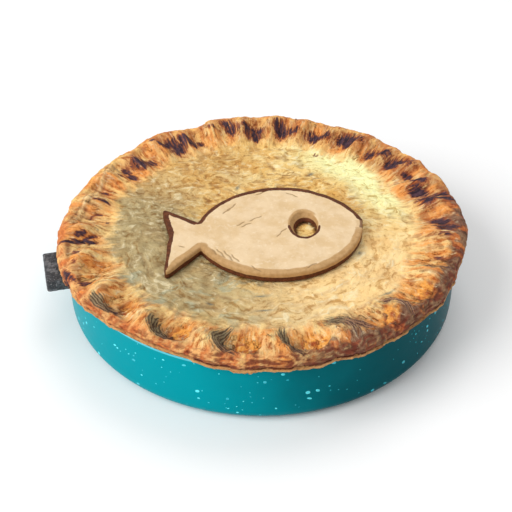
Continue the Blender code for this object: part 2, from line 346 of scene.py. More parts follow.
def fishOutline():
    back = bow(fish["backNotch"], fish["nose"], fish["backRise"], fish["arcSteps"])
    belly = bow(fish["nose"], fish["bellyNotch"], fish["bellyRise"], fish["arcSteps"])
    nose = rounded(back[-4], fish["nose"], belly[3], fish["noseRound"])
    lower = rounded(fish["bellyNotch"], fish["tailBottom"], fish["tailMiddle"], fish["tipRound"])
    upper = rounded(fish["tailMiddle"], fish["tailTop"], fish["backNotch"], fish["tipRound"])
    return back[:-4] + nose + belly[4:] + lower + [fish["tailMiddle"]] + upper


def outlineDistance(points, outline):  # distance to the closed outline, and the outward direction there
    distance, _, _, outward = nearestOn(points, outline + outline[:1])
    return distance, outward


def insideFish(points, margin):  # points within the fish's outline or nearer to it than the margin
    outline = fishOutline()
    inside = np.zeros(len(points), bool)
    for a, b in zip(outline, outline[1:] + outline[:1]):
        crossing = (a[1] > points[:, 1]) != (b[1] > points[:, 1])
        run = (b[1] - a[1]) or 1e-9
        inside ^= crossing & (points[:, 0] < (b[0] - a[0]) * (points[:, 1] - a[1]) / run + a[0])
    farthest = np.abs(outline).max() + 15
    around = np.abs(points).max(1) < farthest
    inside[around] |= outlineDistance(points[around], outline)[0] < margin
    return inside


def eyePlace(points, lean=0.0):  # place over the eye, across and along it, 1 at its edge
    across = (points[:, 0] - fish["eye"][0] + lean) / fish["eyeSize"][0] * 2
    return across, (points[:, 1] - fish["eye"][1]) / fish["eyeSize"][1] * 2


# The crust: a fine polar mesh over the CAD's crimps, edge and lid

crust = {
    "turns": 960,  # points round the rim
    "rimRadius": 125.0, "rimGap": 0.3, "rimInside": 104.0,
    "lidHeight": 47.0, "lidLimit": 47.12, "lidEdge": 90.0, "lidCoarse": 42,
    "wallRadius": 121.5, "bodyFloor": 2.8, "bodyCorner": 6.5, "bodyTop": 46.3,
    "crest": 52.4, "crestRise": 1.6, "crestInset": 4.4, "sharpness": 1.4,
    "twist": 4.0, "twistAngle": 20.0, "outerBend": 6.0, "front": 270.0,
    "underCrust": 1.8, "slitHeight": 1.6, "slitMiddle": 285.0, "slitDepth": 2.6,
    "rimFlakes": 0.85, "lidFlakes": 0.8, "lidHollow": 1.1, "pleats": 0.55, "charDepth": 0.45,
    "foldStart": 147.0, "foldSpan": 34.0, "foldRadius": 121.5, "foldSag": 6.5, "foldHeight": 0.8,
    "bowlDepth": 2.1, "bowlBrink": 0.9, "bowlFoot": 0.9,
    "tones": {  # as they show on a screen; where there are two, noise or place mixes them
        "straw": ((242, 198, 118), (252, 222, 154)), "ochre": (222, 166, 84), "lidCreaseShade": (176, 128, 70),
        "oliveTintAndShade": ((146, 128, 90), (178, 160, 118)), "mist": (172, 172, 142), "lidHighlight": (255, 252, 184),
        "dusk": (196, 148, 84), "peach": (255, 220, 160), "gold": ((246, 166, 86), (255, 218, 146)),
        "rimCreaseShade": (160, 84, 40), "outside": ((214, 122, 58), (255, 190, 110)), "toasted": (178, 94, 50),
        "backHighlight": (255, 198, 112), "ember": (178, 92, 48), "crimp": ((206, 122, 48), (248, 190, 108)),
        "bowl": ((248, 172, 78), (164, 66, 24)), "brink": (255, 218, 154), "bowlFoot": (86, 40, 26),
        "salmon": ((222, 122, 62), (250, 182, 112)), "shadow": ((64, 46, 46), (132, 98, 78)),
        "glowing": ((176, 82, 38), (226, 132, 60)), "rustyCreaseShade": (116, 52, 32), "flakeHighlight": (255, 216, 150),
        "foldShadeAround": ((150, 112, 74), (98, 64, 56)), "strip": (226, 170, 108), "foldShadowLine": (120, 66, 40),
        "fold": (255, 222, 160), "pleatShade": (140, 82, 56), "baked": (138, 60, 36), "slitShade": (86, 38, 28),
        "crescent": (88, 44, 34), "herb": (96, 108, 104), "eye": (250, 212, 134), "eyeRing": (104, 62, 36),
        "highlight": (255, 236, 190), "singed": (150, 74, 42), "char": ((34, 26, 42), (88, 60, 72)),
        "foldShadeDeep": ((58, 46, 38), (48, 28, 32)), "foldShadeDeepRight": (76, 50, 50),
        "foldShadePale": ((166, 152, 118), (118, 80, 66)), "foldShadePaleRight": (196, 150, 118),
    },
}
# Thumb-pressed crimps: angle, where the ridge before it peaks
crimps = (
    (3, 0.5), (16, 0.5), (26, 0.5), (36, 0.5), (46, 0.5), (57.5, 0.5), (69, 0.5), (80.5, 0.5), (91.5, 0.5),
    (102.5, 0.5), (114, 0.5), (124.5, 0.5), (136, 0.5), (147, 0.5), (161, 0.5), (177, 0.5), (191, 0.55),
    (205, 0.6), (222, 0.7), (240.5, 0.74), (261, 0.76), (279.5, 0.78), (301.5, 0.74), (319, 0.66),
    (340, 0.58),
)
# Section over the crimps, from the crest inwards: radius, height in a crimp, height on a ridge
section = (
    (118.5, 50.4, 56.0), (114.5, 48.3, 56.2), (110.0, 47.3, 54.8), (105.5, 46.7, 52.2), (100.5, 46.4, 49.2),
    (95.5, 46.5, 47.3),
)
# The edge: angle, overhang past the dish's rim, height of its lower edge, change of crest height
edge = (
    (0, 4.6, 43.0, 0.0), (20, 4.8, 43.0, 0.3), (33, 3.8, 43.2, 0.0), (44, 2.4, 43.2, -0.6),
    (55, 3.8, 43.0, 0.4), (68, 2.2, 43.2, 0.0), (80, 2.8, 43.0, 0.6), (93, 2.0, 43.2, 0.0),
    (103, 3.2, 43.0, 0.6), (114, 1.6, 43.4, -3.0), (125, 3.2, 43.0, 0.2), (138, 1.6, 43.4, -2.6),
    (150, 1.7, 43.4, -1.8), (165, 1.5, 43.4, -2.8), (179, 1.7, 43.4, -2.2), (188, 3.2, 43.2, 0.0),
    (199, 4.4, 43.0, 0.4), (211, 4.0, 43.2, 0.0), (223, 2.4, 44.6, -0.4), (234, 1.6, 45.5, -0.5),
    (250, 1.6, 45.5, -0.4), (261, 2.6, 43.4, 0.3), (271, 2.4, 43.3, 0.0), (281, 2.9, 42.9, 0.3),
    (290, 1.8, 43.8, -0.6), (297, 2.9, 43.0, 0.4), (306, 1.8, 43.6, -0.5), (318, 2.6, 43.2, 0.2),
    (336, 2.4, 43.4, 0.0), (350, 3.8, 43.0, 0.0),
)
# Burns, each a stroke: angle and radius of both ends, bow to its left, half width, darkness
burns = (
    (145.5, 116, 146.5, 107, 0, 1.3, 0.9), (147.5, 109, 147, 100, 0, 1.4, 0.9),
    (151, 111, 150, 105, 0, 1.4, 0.8), (141.5, 117, 134, 101.5, 1, 1.8, 1.0),
    (143, 114, 138, 101, 0, 2.2, 1.0), (141, 107, 141, 101, 0, 1.2, 0.9),
    (124.5, 119, 123, 100, 1, 3.4, 1.0), (130, 112, 125, 112.5, 0, 2.2, 1.0),
    (130, 122, 130, 117, 0, 1.3, 0.8), (120.5, 114, 116, 102, 1, 2.3, 1.0),
    (115.5, 113, 113, 104, 0, 1.4, 0.8), (109, 119, 107, 112, 0, 1.6, 0.5),
    (104, 124, 99, 106, 1, 2.2, 1.0), (95, 114, 95, 102, 0, 1.8, 1.0), (92.5, 114, 92, 100, 0, 2.2, 1.0),
    (97.5, 112, 88.5, 110.5, 2, 1.7, 1.0), (86, 112, 79.5, 114, 0, 3.8, 0.9),
    (81, 114, 75.5, 107.5, 1, 1.9, 0.8), (73.5, 108.5, 63, 107.5, 3, 2.4, 1.0),
    (66, 90, 65, 94, 0, 0.9, 0.45), (61.5, 110.5, 51.5, 114, 3, 3.0, 1.0),
    (57.5, 112, 54.5, 109, 0, 1.8, 0.9), (48, 107, 39.5, 114.5, 3, 2.8, 1.0),
    (45, 103, 45, 113, 0, 1.6, 0.9), (38.5, 107.5, 30, 120, 3, 3.0, 1.0),
    (35, 106.5, 32.5, 110, 0, 1.2, 0.9), (30, 110, 26, 113.5, 1, 1.4, 0.8),
    (23.5, 107, 19.5, 117, 2, 1.4, 1.0), (21, 104.5, 16, 115.5, 1, 1.9, 1.0),
    (16, 109.5, 8.5, 112.5, 0, 3.4, 1.0), (14.5, 115, 13, 129, 0, 1.5, 0.9),
    (11, 113, 10, 130, 0, 1.9, 1.0), (3, 108.5, -1, 121, 0, 2.3, 1.0), (-2.5, 110, -4.5, 125, 0, 2.4, 1.0),
    (-5.5, 109, -6.5, 122.5, 0, 1.3, 0.8), (-8.5, 111, -9, 120, 0, 1.3, 0.7),
    (-16, 110, -18, 118, 0, 1.0, 0.6), (169, 112.5, 168, 100, 2, 0.6, 0.9),
    (175.5, 112, 172.5, 103, 2, 0.5, 0.8), (160, 115, 160, 107, 1, 0.5, 0.8),
    (164, 113, 163.5, 104, 1, 0.45, 0.7), (180, 117, 178, 105, 1, 0.45, 0.7),
    (176.5, 100, 177.5, 98.5, 0, 0.7, 0.9), (183.5, 117, 181.5, 106.5, 1, 0.5, 0.8),
    (188, 118, 185.5, 110, 0, 0.7, 0.8), (189.5, 115, 186, 103, 1, 0.55, 0.8),
    (191.5, 127.5, 188.5, 103.5, 1, 0.85, 1.0), (198.2, 121.5, 197.2, 115.5, 0, 1.3, 1.0),
    (195, 110, 195, 105, 0, 0.8, 0.8), (201, 122, 202.5, 120.5, 0, 1.0, 0.7),
    (203, 128.5, 209.5, 124.5, -1, 1.0, 0.7), (209, 125.5, 212, 116, -1, 1.3, 0.8),
)
# Folds down the front crimps, their grey a painted shade: angle and radius of their start, bend and end, half
# width
shadedFolds = (
    ((216.5, 122), (221, 126), (228.5, 118.5), 4.0), ((236.5, 106), (236.5, 121), (248.5, 119.5), 4.6),
    ((260, 96), (253.5, 120), (264.5, 124.5), 4.8), ((277, 95), (275.5, 118), (281.5, 126), 4.2),
    ((291, 96), (298.5, 103), (296.5, 122), 6.0), ((296, 98), (303, 106), (304, 121), 4.0),
    ((312.5, 102), (317, 112), (314, 126), 4.2), ((336, 107), (335, 117), (337, 126), 2.6),
)
# Pressed bowls beside the folds: angle and radius of their middle, half width, half depth
bowls = (
    (226.5, 111, 6, 7), (246, 110.5, 8.5, 9), (265.5, 113, 9, 10), (285, 112, 10.5, 10), (309.7, 116, 7, 8),
    (325, 117, 9, 9),
)
# Herb flecks under the lid's surface: x, y, length, width, turn
flecks = (
    (34, 61, 4.5, 2.6, 20), (61, -26, 4.6, 2.6, 60), (-16, 44, 4.4, 2.4, 70), (75, -64, 11.0, 1.6, 38),
    (0, -67, 9.0, 1.6, 8), (2, -80, 10.0, 1.4, 0), (30, -45, 5.0, 1.2, 30), (-30, -74, 5.0, 1.4, 150),
)


def edgeColumn(degrees, column):  # eased from each entry to the next, closed round the rim
    angles = np.array([row[0] for row in edge] + [360.0])
    values = np.array([row[column] for row in edge] + [edge[0][column]])
    place = np.interp(np.mod(degrees, 360.0), angles, np.arange(len(angles)))
    step = np.minimum(place.astype(int), len(edge) - 1)
    ease = (1 - np.cos(math.pi * (place - step))) / 2
    return values[step] * (1 - ease) + values[step + 1] * ease


def uneven(degrees, order):  # three slow waves round the rim
    turn = np.radians(degrees)
    waves = ((5 + order, 1.3 * order), (11 + 2 * order, 2.1 * order), (23 - order, 0.7 * order))
    return sum(np.sin(count * turn + phase) for count, phase in waves) / len(waves)


def lidSurface(degrees, radius):  # height of the lid, which sags in slow waves
    turn = np.radians(degrees)
    x, y = radius * np.cos(turn), radius * np.sin(turn)
    wave = (
        np.sin(x / 13 + 1.7 * np.sin(y / 31)) + np.sin(y / 9 + 1.2 + 1.2 * np.sin(x / 24 + 1.2))
        + np.sin((x + y) / 17 + 0.6) + np.sin((x - 1.6 * y) / 21 + 2.2)
    ) / 4
    return crust["lidHeight"] - crust["lidHollow"] * (0.5 - 0.5 * wave)


def atFront(degrees):
    return near(degrees, crust["front"], 98, 66)


def crimpAt(degrees, radius):  # ridge height 0 to 1, and the place between two crimps
    crestRadius, lidRadius = section[0][0], section[-1][0]
    inward = np.clip((crestRadius - radius) / (crestRadius - lidRadius), 0, 1)
    outward = np.clip((radius - 113) / 11, 0, 1.2)
    lean = crust["twist"] * np.cos(np.radians(degrees - crust["twistAngle"]))
    degrees = degrees - lean * inward - crust["outerBend"] * outward ** 2 * atFront(degrees)
    rows = np.array(crimps + ((crimps[0][0] + 360, crimps[0][1]),))
    turned = np.mod(degrees - rows[0, 0], 360) + rows[0, 0]
    after = np.clip(np.searchsorted(rows[:, 0], turned, side="right"), 1, len(crimps))
    gap = (turned - rows[after - 1, 0]) / (rows[after, 0] - rows[after - 1, 0])
    peak = rows[after, 1]
    climb = np.where(gap < peak, gap / peak, (1 - gap) / (1 - peak))
    return ((1 - np.cos(math.pi * climb)) / 2) ** crust["sharpness"], gap


def profile(degrees):  # radius and height of control rings, from under the lip over the crimps to the lid
    rim = crust["rimRadius"] + edgeColumn(degrees, 1)
    lip = edgeColumn(degrees, 2)
    crest = edgeColumn(degrees, 3)
    parting = 0.3 + 0.7 * np.clip(np.cos(np.radians(degrees - crust["slitMiddle"])), 0, 1)
    layer = lip + crust["underCrust"]
    flank = layer + crust["slitHeight"]
    mouth = rim - 0.5
    crestRadius = rim - crust["crestInset"]
    top = crust["crest"] + crest + crust["crestRise"] * crimpAt(degrees, crestRadius)[0]
    rings = [
        (np.full_like(degrees, crust["rimRadius"] + crust["rimGap"]), lip),
        (rim - 0.7, lip), (rim, lip + 0.9),
        (mouth, layer), (mouth - 0.5 * crust["slitDepth"] * parting, layer + 0.6), (mouth, flank),
        (rim + 0.4 + 0.5 * uneven(degrees, 1), flank + 0.35 * (top - flank)),
        (rim - 1.4 + 0.3 * uneven(degrees, 2), flank + 0.78 * (top - flank)), (crestRadius, top),
    ]
    for order, (radius, hollow, ridge) in enumerate(section, start=3):
        inward = (section[0][0] - radius) / (section[0][0] - section[-1][0])
        height = hollow + crest * (1 - inward) + (ridge - hollow) * crimpAt(degrees, radius)[0]
        rings.append((np.full_like(degrees, radius), height + 0.35 * uneven(degrees, order) * (1 - inward)))
    rings.append((np.full_like(degrees, crust["lidEdge"]), lidSurface(degrees, crust["lidEdge"])))
    return rings


def splined(control, steps):  # Catmull-Rom through the control rings, this many steps between each pair
    rings = np.array(control)
    padded = np.concatenate([2 * rings[:1] - rings[1:2], rings, 2 * rings[-1:] - rings[-2:-1]])
    out = []
    for k, count in enumerate(steps):
        p0, p1, p2, p3 = padded[k:k + 4]
        for t in np.linspace(0, 1, count, endpoint=False):
            cubic = (2 * p0 - 5 * p1 + 4 * p2 - p3) * t * t + (3 * p1 - p0 - 3 * p2 + p3) * t ** 3
            out.append(0.5 * (2 * p1 + (p2 - p0) * t + cubic))
    out.append(rings[-1])
    return out


def bridged(rings):  # faces between neighbouring rings; a ring may have half or twice the points of the last
    faces, start = [], 0
    for lower, upper in zip(rings, rings[1:]):
        n, m, top = len(lower), len(upper), start + len(lower)
        for k in range(min(n, m)):
            if n == m:
                faces.append((start + k, start + (k + 1) % n, top + (k + 1) % m, top + k))
            elif n > m:
                a, b, c = start + 2 * k, start + 2 * k + 1, start + (2 * k + 2) % n
                faces += [(a, b, top + k), (b, c, top + (k + 1) % m, top + k)]
            else:
                a, b, c = top + 2 * k, top + 2 * k + 1, top + (2 * k + 2) % m
                faces += [(start + k, b, a), (start + k, start + (k + 1) % n, c, b)]
        start = top
    return faces


def closedMesh(name, rings, points):  # bridges the rings and closes the first and the last
    faces = bridged(rings)
    faces.append(tuple(reversed(range(len(rings[0])))))
    faces.append(tuple(range(len(points) - len(rings[-1]), len(points))))
    mesh = bpy.data.meshes.new(name)
    mesh.from_pydata((points * mm).tolist(), [], faces)
    return mesh


def stack(degrees, radius, height):
    turn = np.radians(degrees)
    radius, height = np.broadcast_to(radius, degrees.shape), np.broadcast_to(height, degrees.shape)
    return np.stack([radius * np.cos(turn), radius * np.sin(turn), height], -1)


def pieRings():  # every ring of the pie, from the middle of its base up and over the rim to the lid's middle
    full = np.arange(crust["turns"]) * 360.0 / crust["turns"]
    half, quarter, few = full[::2], full[::4], full[::8]
    wall, floor, corner = crust["wallRadius"], crust["bodyFloor"], crust["bodyCorner"]
    rings = [stack(few, radius, floor) for radius in (0.5, 60, wall - corner)]
    for turn in np.radians([30, 60, 90]):
        level = floor + corner - corner * math.cos(turn)
        rings.append(stack(few, wall - corner + corner * math.sin(turn), level))
    rings.append(stack(quarter, wall, crust["bodyTop"] - 2))
    rings.append(stack(half, wall, crust["bodyTop"]))
    rings.append(stack(full, crust["rimRadius"] + crust["rimGap"], crust["bodyTop"]))
    hidden = len(rings)
    stepsBetween = (2, 1, 2, 2, 2, 4, 5, 5, 8, 6, 7, 6, 7, 6, 6)
    rings += [stack(full, radius, height) for radius, height in splined(profile(full), stepsBetween)]
    for degrees, outer, inner, count in (
        (half, crust["lidEdge"], crust["lidCoarse"], 39), (quarter, crust["lidCoarse"], 1, 32),
    ):
        for radius in np.linspace(outer, inner, count)[1:]:
            rings.append(stack(degrees, radius, lidSurface(degrees, radius)))
    return rings, hidden


def matched(ring, count):  # the ring with this many points
    return ring[::len(ring) // count] if len(ring) >= count else np.repeat(ring, count // len(ring), axis=0)


def ringNormals(rings):  # outward normals of the rings, from the neighbours along and across
    normals = []
    for k, ring in enumerate(rings):
        below = matched(rings[max(k - 1, 0)], len(ring))
        above = matched(rings[min(k + 1, len(rings) - 1)], len(ring))
        along = np.roll(ring, -1, axis=0) - np.roll(ring, 1, axis=0)
        normal = np.cross(along, above - below)
        normals.append(normal / np.maximum(np.linalg.norm(normal, axis=1, keepdims=True), 1e-9))
    return normals


def plan(angle, radius):
    turn = math.radians(angle)
    return np.array([radius * math.cos(turn), radius * math.sin(turn)])


def brushed(points, first, bend, last, reach):  # points near a bent stroke, way along it, side distance
    farthest = reach + np.linalg.norm(last - first)
    which = np.flatnonzero(np.linalg.norm(points[:, :2] - bend, axis=1) < farthest)
    _, way, side, _ = nearestOn(points[which, :2], bent(first, bend, last, 14))
    return which, way, side


def scorched(points):  # dark strokes with frayed ends, and the browned crust round them
    char, tan = np.zeros(len(points)), np.zeros(len(points))
    for number, (angle1, radius1, angle2, radius2, bowed, width, darkness) in enumerate(burns):
        first, last = plan(angle1, radius1), plan(angle2, radius2)
        run = (last - first) / np.linalg.norm(last - first)
        bend = (first + last) / 2 + 2 * bowed * np.array([-run[1], run[0]])
        which, way, side = brushed(points, first, bend, last, 5 * width)
        hair = 0.5 + 0.25 * np.sin(4.1 * side + number) + 0.25 * np.sin(7.3 * side + 2.1 * number)
        thick = 1.75 * width * (0.5 + 0.5 * np.sin(math.pi * np.clip(way, 0.04, 0.96)) ** 0.6)
        body = np.exp(-(side / thick) ** 2)
        ends = smooth(-0.1, 0.1 + 0.3 * hair, way) * smooth(1.1, 0.9 - 0.4 * hair, way)
        char[which] = np.maximum(char[which], darkness * body * ends * (0.8 + 0.3 * hair))
        tan[which] = np.maximum(tan[which], darkness * np.exp(-(side / (1.4 * width + 2.6)) ** 2))
    return char, tan


def foldShading(points):  # the folds' painted shade: how shaded, way along the fold, distance to its side, painted shade round it
    foldShade, place, across, dusk = (np.zeros(len(points)) for _ in range(4))
    for start, bend, end, width in shadedFolds:
        which, way, side = brushed(points, plan(*start), plan(*bend), plan(*end), 4 * width)
        thick = width * (0.35 + 0.65 * np.sin(math.pi * np.clip(way * 0.85 + 0.12, 0, 1)))
        ragged = 0.5 + 0.5 * np.sin(2.3 * side + start[0])
        ends = smooth(-0.12, 0.12 + 0.2 * ragged, way) * smooth(1.12, 0.8 - 0.2 * ragged, way)
        share = np.exp(-(side / (0.95 * thick)) ** 2) * ends
        dusk[which] = np.maximum(dusk[which], np.exp(-(side / (1.5 * width + 1)) ** 2) * ends)
        darker = share > foldShade[which]
        for kept, new in ((place, way), (across, side), (foldShade, share)):
            kept[which] = np.where(darker, new, kept[which])
    return foldShade, place, across, dusk


def pressedBowls(degrees, radius, grainAt):  # how far pressed in, the brink round it for a painted highlight, its foot for painted shade, its painted shading
    pressed, brink, foot, shadeAt = (np.zeros_like(degrees) for _ in range(4))
    for angle, middle, wide, deep in bowls:
        sideways = np.radians(apart(degrees, angle)) * middle / wide
        outwards = (radius - middle) / deep
        reach = np.hypot(sideways, outwards) + 0.25 * grainAt
        within = smooth(1.0, 0.62, reach)
        pressed = np.maximum(pressed, within)
        upper = smooth(-0.6, 0.4, outwards + 0.6 * sideways)
        brink = np.maximum(brink, np.exp(-((reach - 1.25) / 0.22) ** 2) * upper)
        lower = smooth(-0.2, 0.5, outwards - 0.35 * sideways)
        foot = np.maximum(foot, np.exp(-((reach - 0.9) / 0.13) ** 2) * lower)
        shadeAt += within * (outwards - 0.5 * sideways + 0.4 * np.sin(11 * reach))
    return pressed, brink, foot, shadeAt


def terraced(value, steps):  # flaky layers: flat steps with short eased fronts
    scaled = value * steps
    whole = np.floor(scaled)
    return (whole + smooth(0.62, 1.0, scaled - whole)) / steps


def hue(name, share=None):  # a colour of the crust, or its two mixed by the share
    if share is None:
        return tone(*crust["tones"][name])
    first, second = crust["tones"][name]
    return mixed(tone(*first), tone(*second), share)


def makePie():
    rings, hidden = pieRings()
    hiddenPoints = sum(len(ring) for ring in rings[:hidden + 2])
    points = np.concatenate(rings)
    normals = np.concatenate(ringNormals(rings))
    shown = np.arange(len(points)) >= hiddenPoints
    radius = np.hypot(points[:, 0], points[:, 1])
    degrees = np.degrees(np.arctan2(points[:, 1], points[:, 0])) % 360
    turn = np.radians(degrees)
    flat = points * (1, 1, 0)
    polar = np.stack([115 * np.cos(turn), 115 * np.sin(turn), radius], -1)
    rim = crust["rimRadius"] + edgeColumn(degrees, 1)
    toRim = radius - rim
    share, gap = crimpAt(degrees, radius)
    front = atFront(degrees)
    onRim = smooth(crust["lidEdge"], crust["rimInside"], radius)
    onEdge = smooth(-5.5, -3.0, toRim)
    grainAt = cloud(flat, 5.0, 11, 4)
    print("crust rings placed")

    # Flaky relief: radial flakes on the rim, wrinkles on the lid, layers on the outer face
    warp = np.stack([cloud(flat, 22, 3, 3), cloud(flat, 22, 4, 3), np.zeros(len(flat))], -1)
    broad = cloud(flat, 30, 7, 3)
    rimFlake = cloud(polar * (1, 1, 0.35) + warp * 5, 3.6, 1, 5, ridged=True)
    lidFlake = cloud((flat + warp * 12) * (1, 1.5, 1), 9.0, 2, 6, ridged=True)
    roundFlake = cloud(polar * (0.25, 0.25, 1.3) + warp * 6, 6.5, 5, 5, ridged=True)
    edgeFlake = cloud(points * (0.7, 0.7, 1.8) + warp * 5, 4.2, 8, 5, ridged=True)
    around = front * smooth(52, 76, radius)
    flake = lidFlake
    for other, part in ((roundFlake, around), (rimFlake, onRim), (edgeFlake, onEdge)):
        flake = flake * (1 - part) + other * part
    layers = terraced(cloud(polar * (1, 1, 0.8) + warp * 10, 15, 9, 4), 4)
    lidLayers = terraced(cloud(flat + warp * 14, 24, 10, 4), 5)
    lift = (flake - 0.45) * (crust["lidFlakes"] * (1 - onRim) + crust["rimFlakes"] * onRim)
    lift += 1.1 * lidLayers * (1 - onRim) + 1.3 * layers * onRim
    char, tan = scorched(points)
    lift -= crust["charDepth"] * char * onRim

    # The pale fold that sags along the rim at the back left, with fine pleats below it
    foldShare = np.clip((degrees - crust["foldStart"]) / crust["foldSpan"], 0, 1)
    foldGap = radius - (crust["foldRadius"] - crust["foldSag"] * np.sin(math.pi * foldShare))
    inFold = (foldShare > 0) & (foldShare < 1)
    fold = np.where(inFold, np.exp(-(foldGap / 1.2) ** 2), 0) * smooth(0, 0.08, foldShare)
    comb = np.where(inFold, np.abs(np.sin(turn * 74 + 2 * broad)) ** 0.6, 1)
    # the pleats' grooves, pressed in and painted with shade
    pleated = np.where(inFold, np.exp(-((foldGap + 5) / 9) ** 2), 0) * (1 - comb)
    # painted shadow lines along both sides of the fold
    foldShadowLine = np.where(inFold, np.exp(-((np.abs(foldGap) - 2.2) / 0.6) ** 2), 0)
    lift += crust["foldHeight"] * fold - 0.7 * pleated

    pressed, brink, bowlFoot, bowlShade = pressedBowls(degrees, radius, grainAt)
    lift += crust["bowlBrink"] * brink * (1 - pressed)
    lift -= crust["bowlDepth"] * pressed + crust["bowlFoot"] * bowlFoot

    # Pleats along the folds with painted shade, and the scorched line where a crimp ends at the crest
    foldShade, alongShade, acrossShade, shadeAround = foldShading(points)
    pleat = np.sin(2.2 * acrossShade + 2.5 * broad)
    started = np.where(gap < 0.5, smooth(0.42, 0.05, gap), 1)
    crescent = (0.25 + 0.75 * front) * smooth(0.5, 0.12, share) * started
    crescent *= np.exp(-((toRim + 6.6) / 1.7) ** 2)
    inside = smooth(0.6, 0.15, share) * smooth(97, 103, radius) * smooth(-4.0, -5.5, toRim)
    lift += crust["pleats"] * (pleat - 0.6) * foldShade - 0.6 * crescent

    points = points + normals * (lift * shown)[:, None]
    under = insideFish(points[:, :2], 2.5) & shown
    points[under, 2] = np.minimum(points[under, 2], crust["lidLimit"])

    # Colours of the lid: straw, ochre, painted shade in the creases, olive grey tint with painted shade at
    # the left, a painted highlight at the back right
    patch = cloud(flat + warp * 9, 16, 12, 4)
    ochre = cloud(flat + warp * 9, 12, 13, 4)
    wood = cloud(polar * (1, 1, 0.25), 5, 14, 4)
    streaks = cloud((flat + warp * 10) * (1, 2.2, 1), 14, 16, 4)
    # olive grey tint and painted shade at the left
    oliveTintAndShade = near(degrees, 200, 72, 40) * smooth(30, 62, radius + 10 * patch)
    oliveTintAndShade = np.maximum(oliveTintAndShade, 0.75 * near(degrees, 250, 55, 20) * smooth(48, 64, radius + 12 * patch))
    oliveTintAndShade *= smooth(107, 93, radius + 9 * wood)
    mist = smooth(0.12, 0.5, streaks) * smooth(-25, -45, points[:, 1]) * smooth(60, -30, points[:, 0])
    lid = painted(
        hue("straw", smooth(-0.35, 0.45, patch)),
        (hue("ochre"), 0.75 * smooth(0.05, 0.5, ochre)),
        # painted shade in the creases between the flakes
        (hue("lidCreaseShade"), 0.85 * smooth(0.42, 0.1, flake)),
        (hue("oliveTintAndShade", smooth(-0.3, 0.4, grainAt)), 0.85 * oliveTintAndShade),
        (hue("mist"), 0.7 * mist),
        # a painted highlight at the back right
        (hue("lidHighlight"), near(degrees, 40, 46, 14) * smooth(64, 88, radius) * smooth(113, 101, radius)),
        (hue("dusk"), 0.45 * near(degrees, 125, 45, 15) * smooth(35, 60, radius + 14 * patch)),
        (hue("peach"), 0.6 * near(degrees, 315, 70, 20) * smooth(25, 60, radius)),
    )

    # Colours of the rim: golden, painted shade in the creases, orange in the crimps, salmon and brown outside
    # with a painted shadow at the front right; painted highlights at the back, on the bowls' brinks and on
    # the edge's flakes; painted shade at the bowls' feet and in the edge's creases
    leftward = near(degrees, 182, 60, 30)
    outside = smooth(-11, -5, toRim + 2.5 * wood) * (0.3 + 0.7 * near(degrees, 30, 125, 70))
    # a painted highlight at the back of the rim
    backHighlightShare = near(degrees, 110, 85, 45) * smooth(-0.35, 0.35, wood + 0.6 * grainAt)
    ember = smooth(0.05, 0.4, cloud(polar * (1, 1, 0.4) + warp * 3, 6, 31, 4)) * smooth(101, 108, radius)
    salmon = near(degrees, 226, 64, 34) * smooth(-7, -3, toRim) * (1 - 0.85 * pressed)
    shadow = near(degrees, 328, 62, 34) * smooth(-12, -5, toRim + 5 * wood + 4 * grainAt)
    shadow *= 1 - 0.8 * pressed
    glowing = smooth(0.02, 0.3, cloud(polar * (1, 1, 0.7) + warp * 3, 7, 33, 4))
    frontEdge = onEdge * front
    # red-brown painted shade in the creases and a painted highlight on the tops of the edge's flakes, at the
    # front
    creaseShadeShare = 0.4 + 0.45 * smooth(232, 262, degrees)
    flakeHighlightShare = 0.6 - 0.4 * smooth(284, 300, degrees)
    gold = painted(
        hue("gold", smooth(-0.35, 0.3, wood)),
        # painted shade in the rim's creases
        (hue("rimCreaseShade"), 0.6 * smooth(0.42, 0.12, flake)),
        (hue("outside", smooth(-0.3, 0.35, broad + grainAt)), 0.65 * outside),
        (hue("toasted"), (0.62 - 0.3 * leftward) * tan * smooth(-0.6, 0.2, wood)),
        (hue("backHighlight"), 0.55 * backHighlightShare * (1 - 0.6 * tan)),
        (hue("ember"), (0.55 - 0.35 * leftward) * ember * (1 - 0.5 * front)),
        (hue("crimp", smooth(-0.25, 0.35, grainAt)), 0.5 * inside * front),
        # painted shading across each bowl
        (hue("bowl", smooth(-0.5, 0.9, bowlShade + 1.5 * grainAt)), 0.9 * pressed),
        # a painted highlight on each bowl's brink
        (hue("brink"), 0.5 * brink * (1 - pressed)),
        (hue("salmon", smooth(-0.3, 0.4, wood)), 0.85 * salmon),
        (hue("shadow", smooth(-0.4, 0.4, wood + grainAt)), 0.88 * shadow),
        (hue("glowing", smooth(-0.3, 0.3, grainAt)), 0.8 * shadow * glowing),
        (hue("rustyCreaseShade"), creaseShadeShare * smooth(0.52, 0.25, flake) * frontEdge),
        (hue("flakeHighlight"), flakeHighlightShare * smooth(0.55, 0.75, flake) * frontEdge),
        # painted shade along each bowl's foot
        (hue("bowlFoot"), 0.92 * bowlFoot * smooth(-1.2, -0.2, grainAt)),
    )

    # The outer face, the lower layer below its slit with painted shade in the slit, painted shade round the
    # shaded folds, the pale fold with painted shadow lines and pleat shade beside it, herb flecks and the
    # fish's eye
    height = points[:, 2]
    lip = edgeColumn(degrees, 2)
    layer = lip + crust["underCrust"]
    strip = (height < layer + 0.2) & (radius > 123) & shown
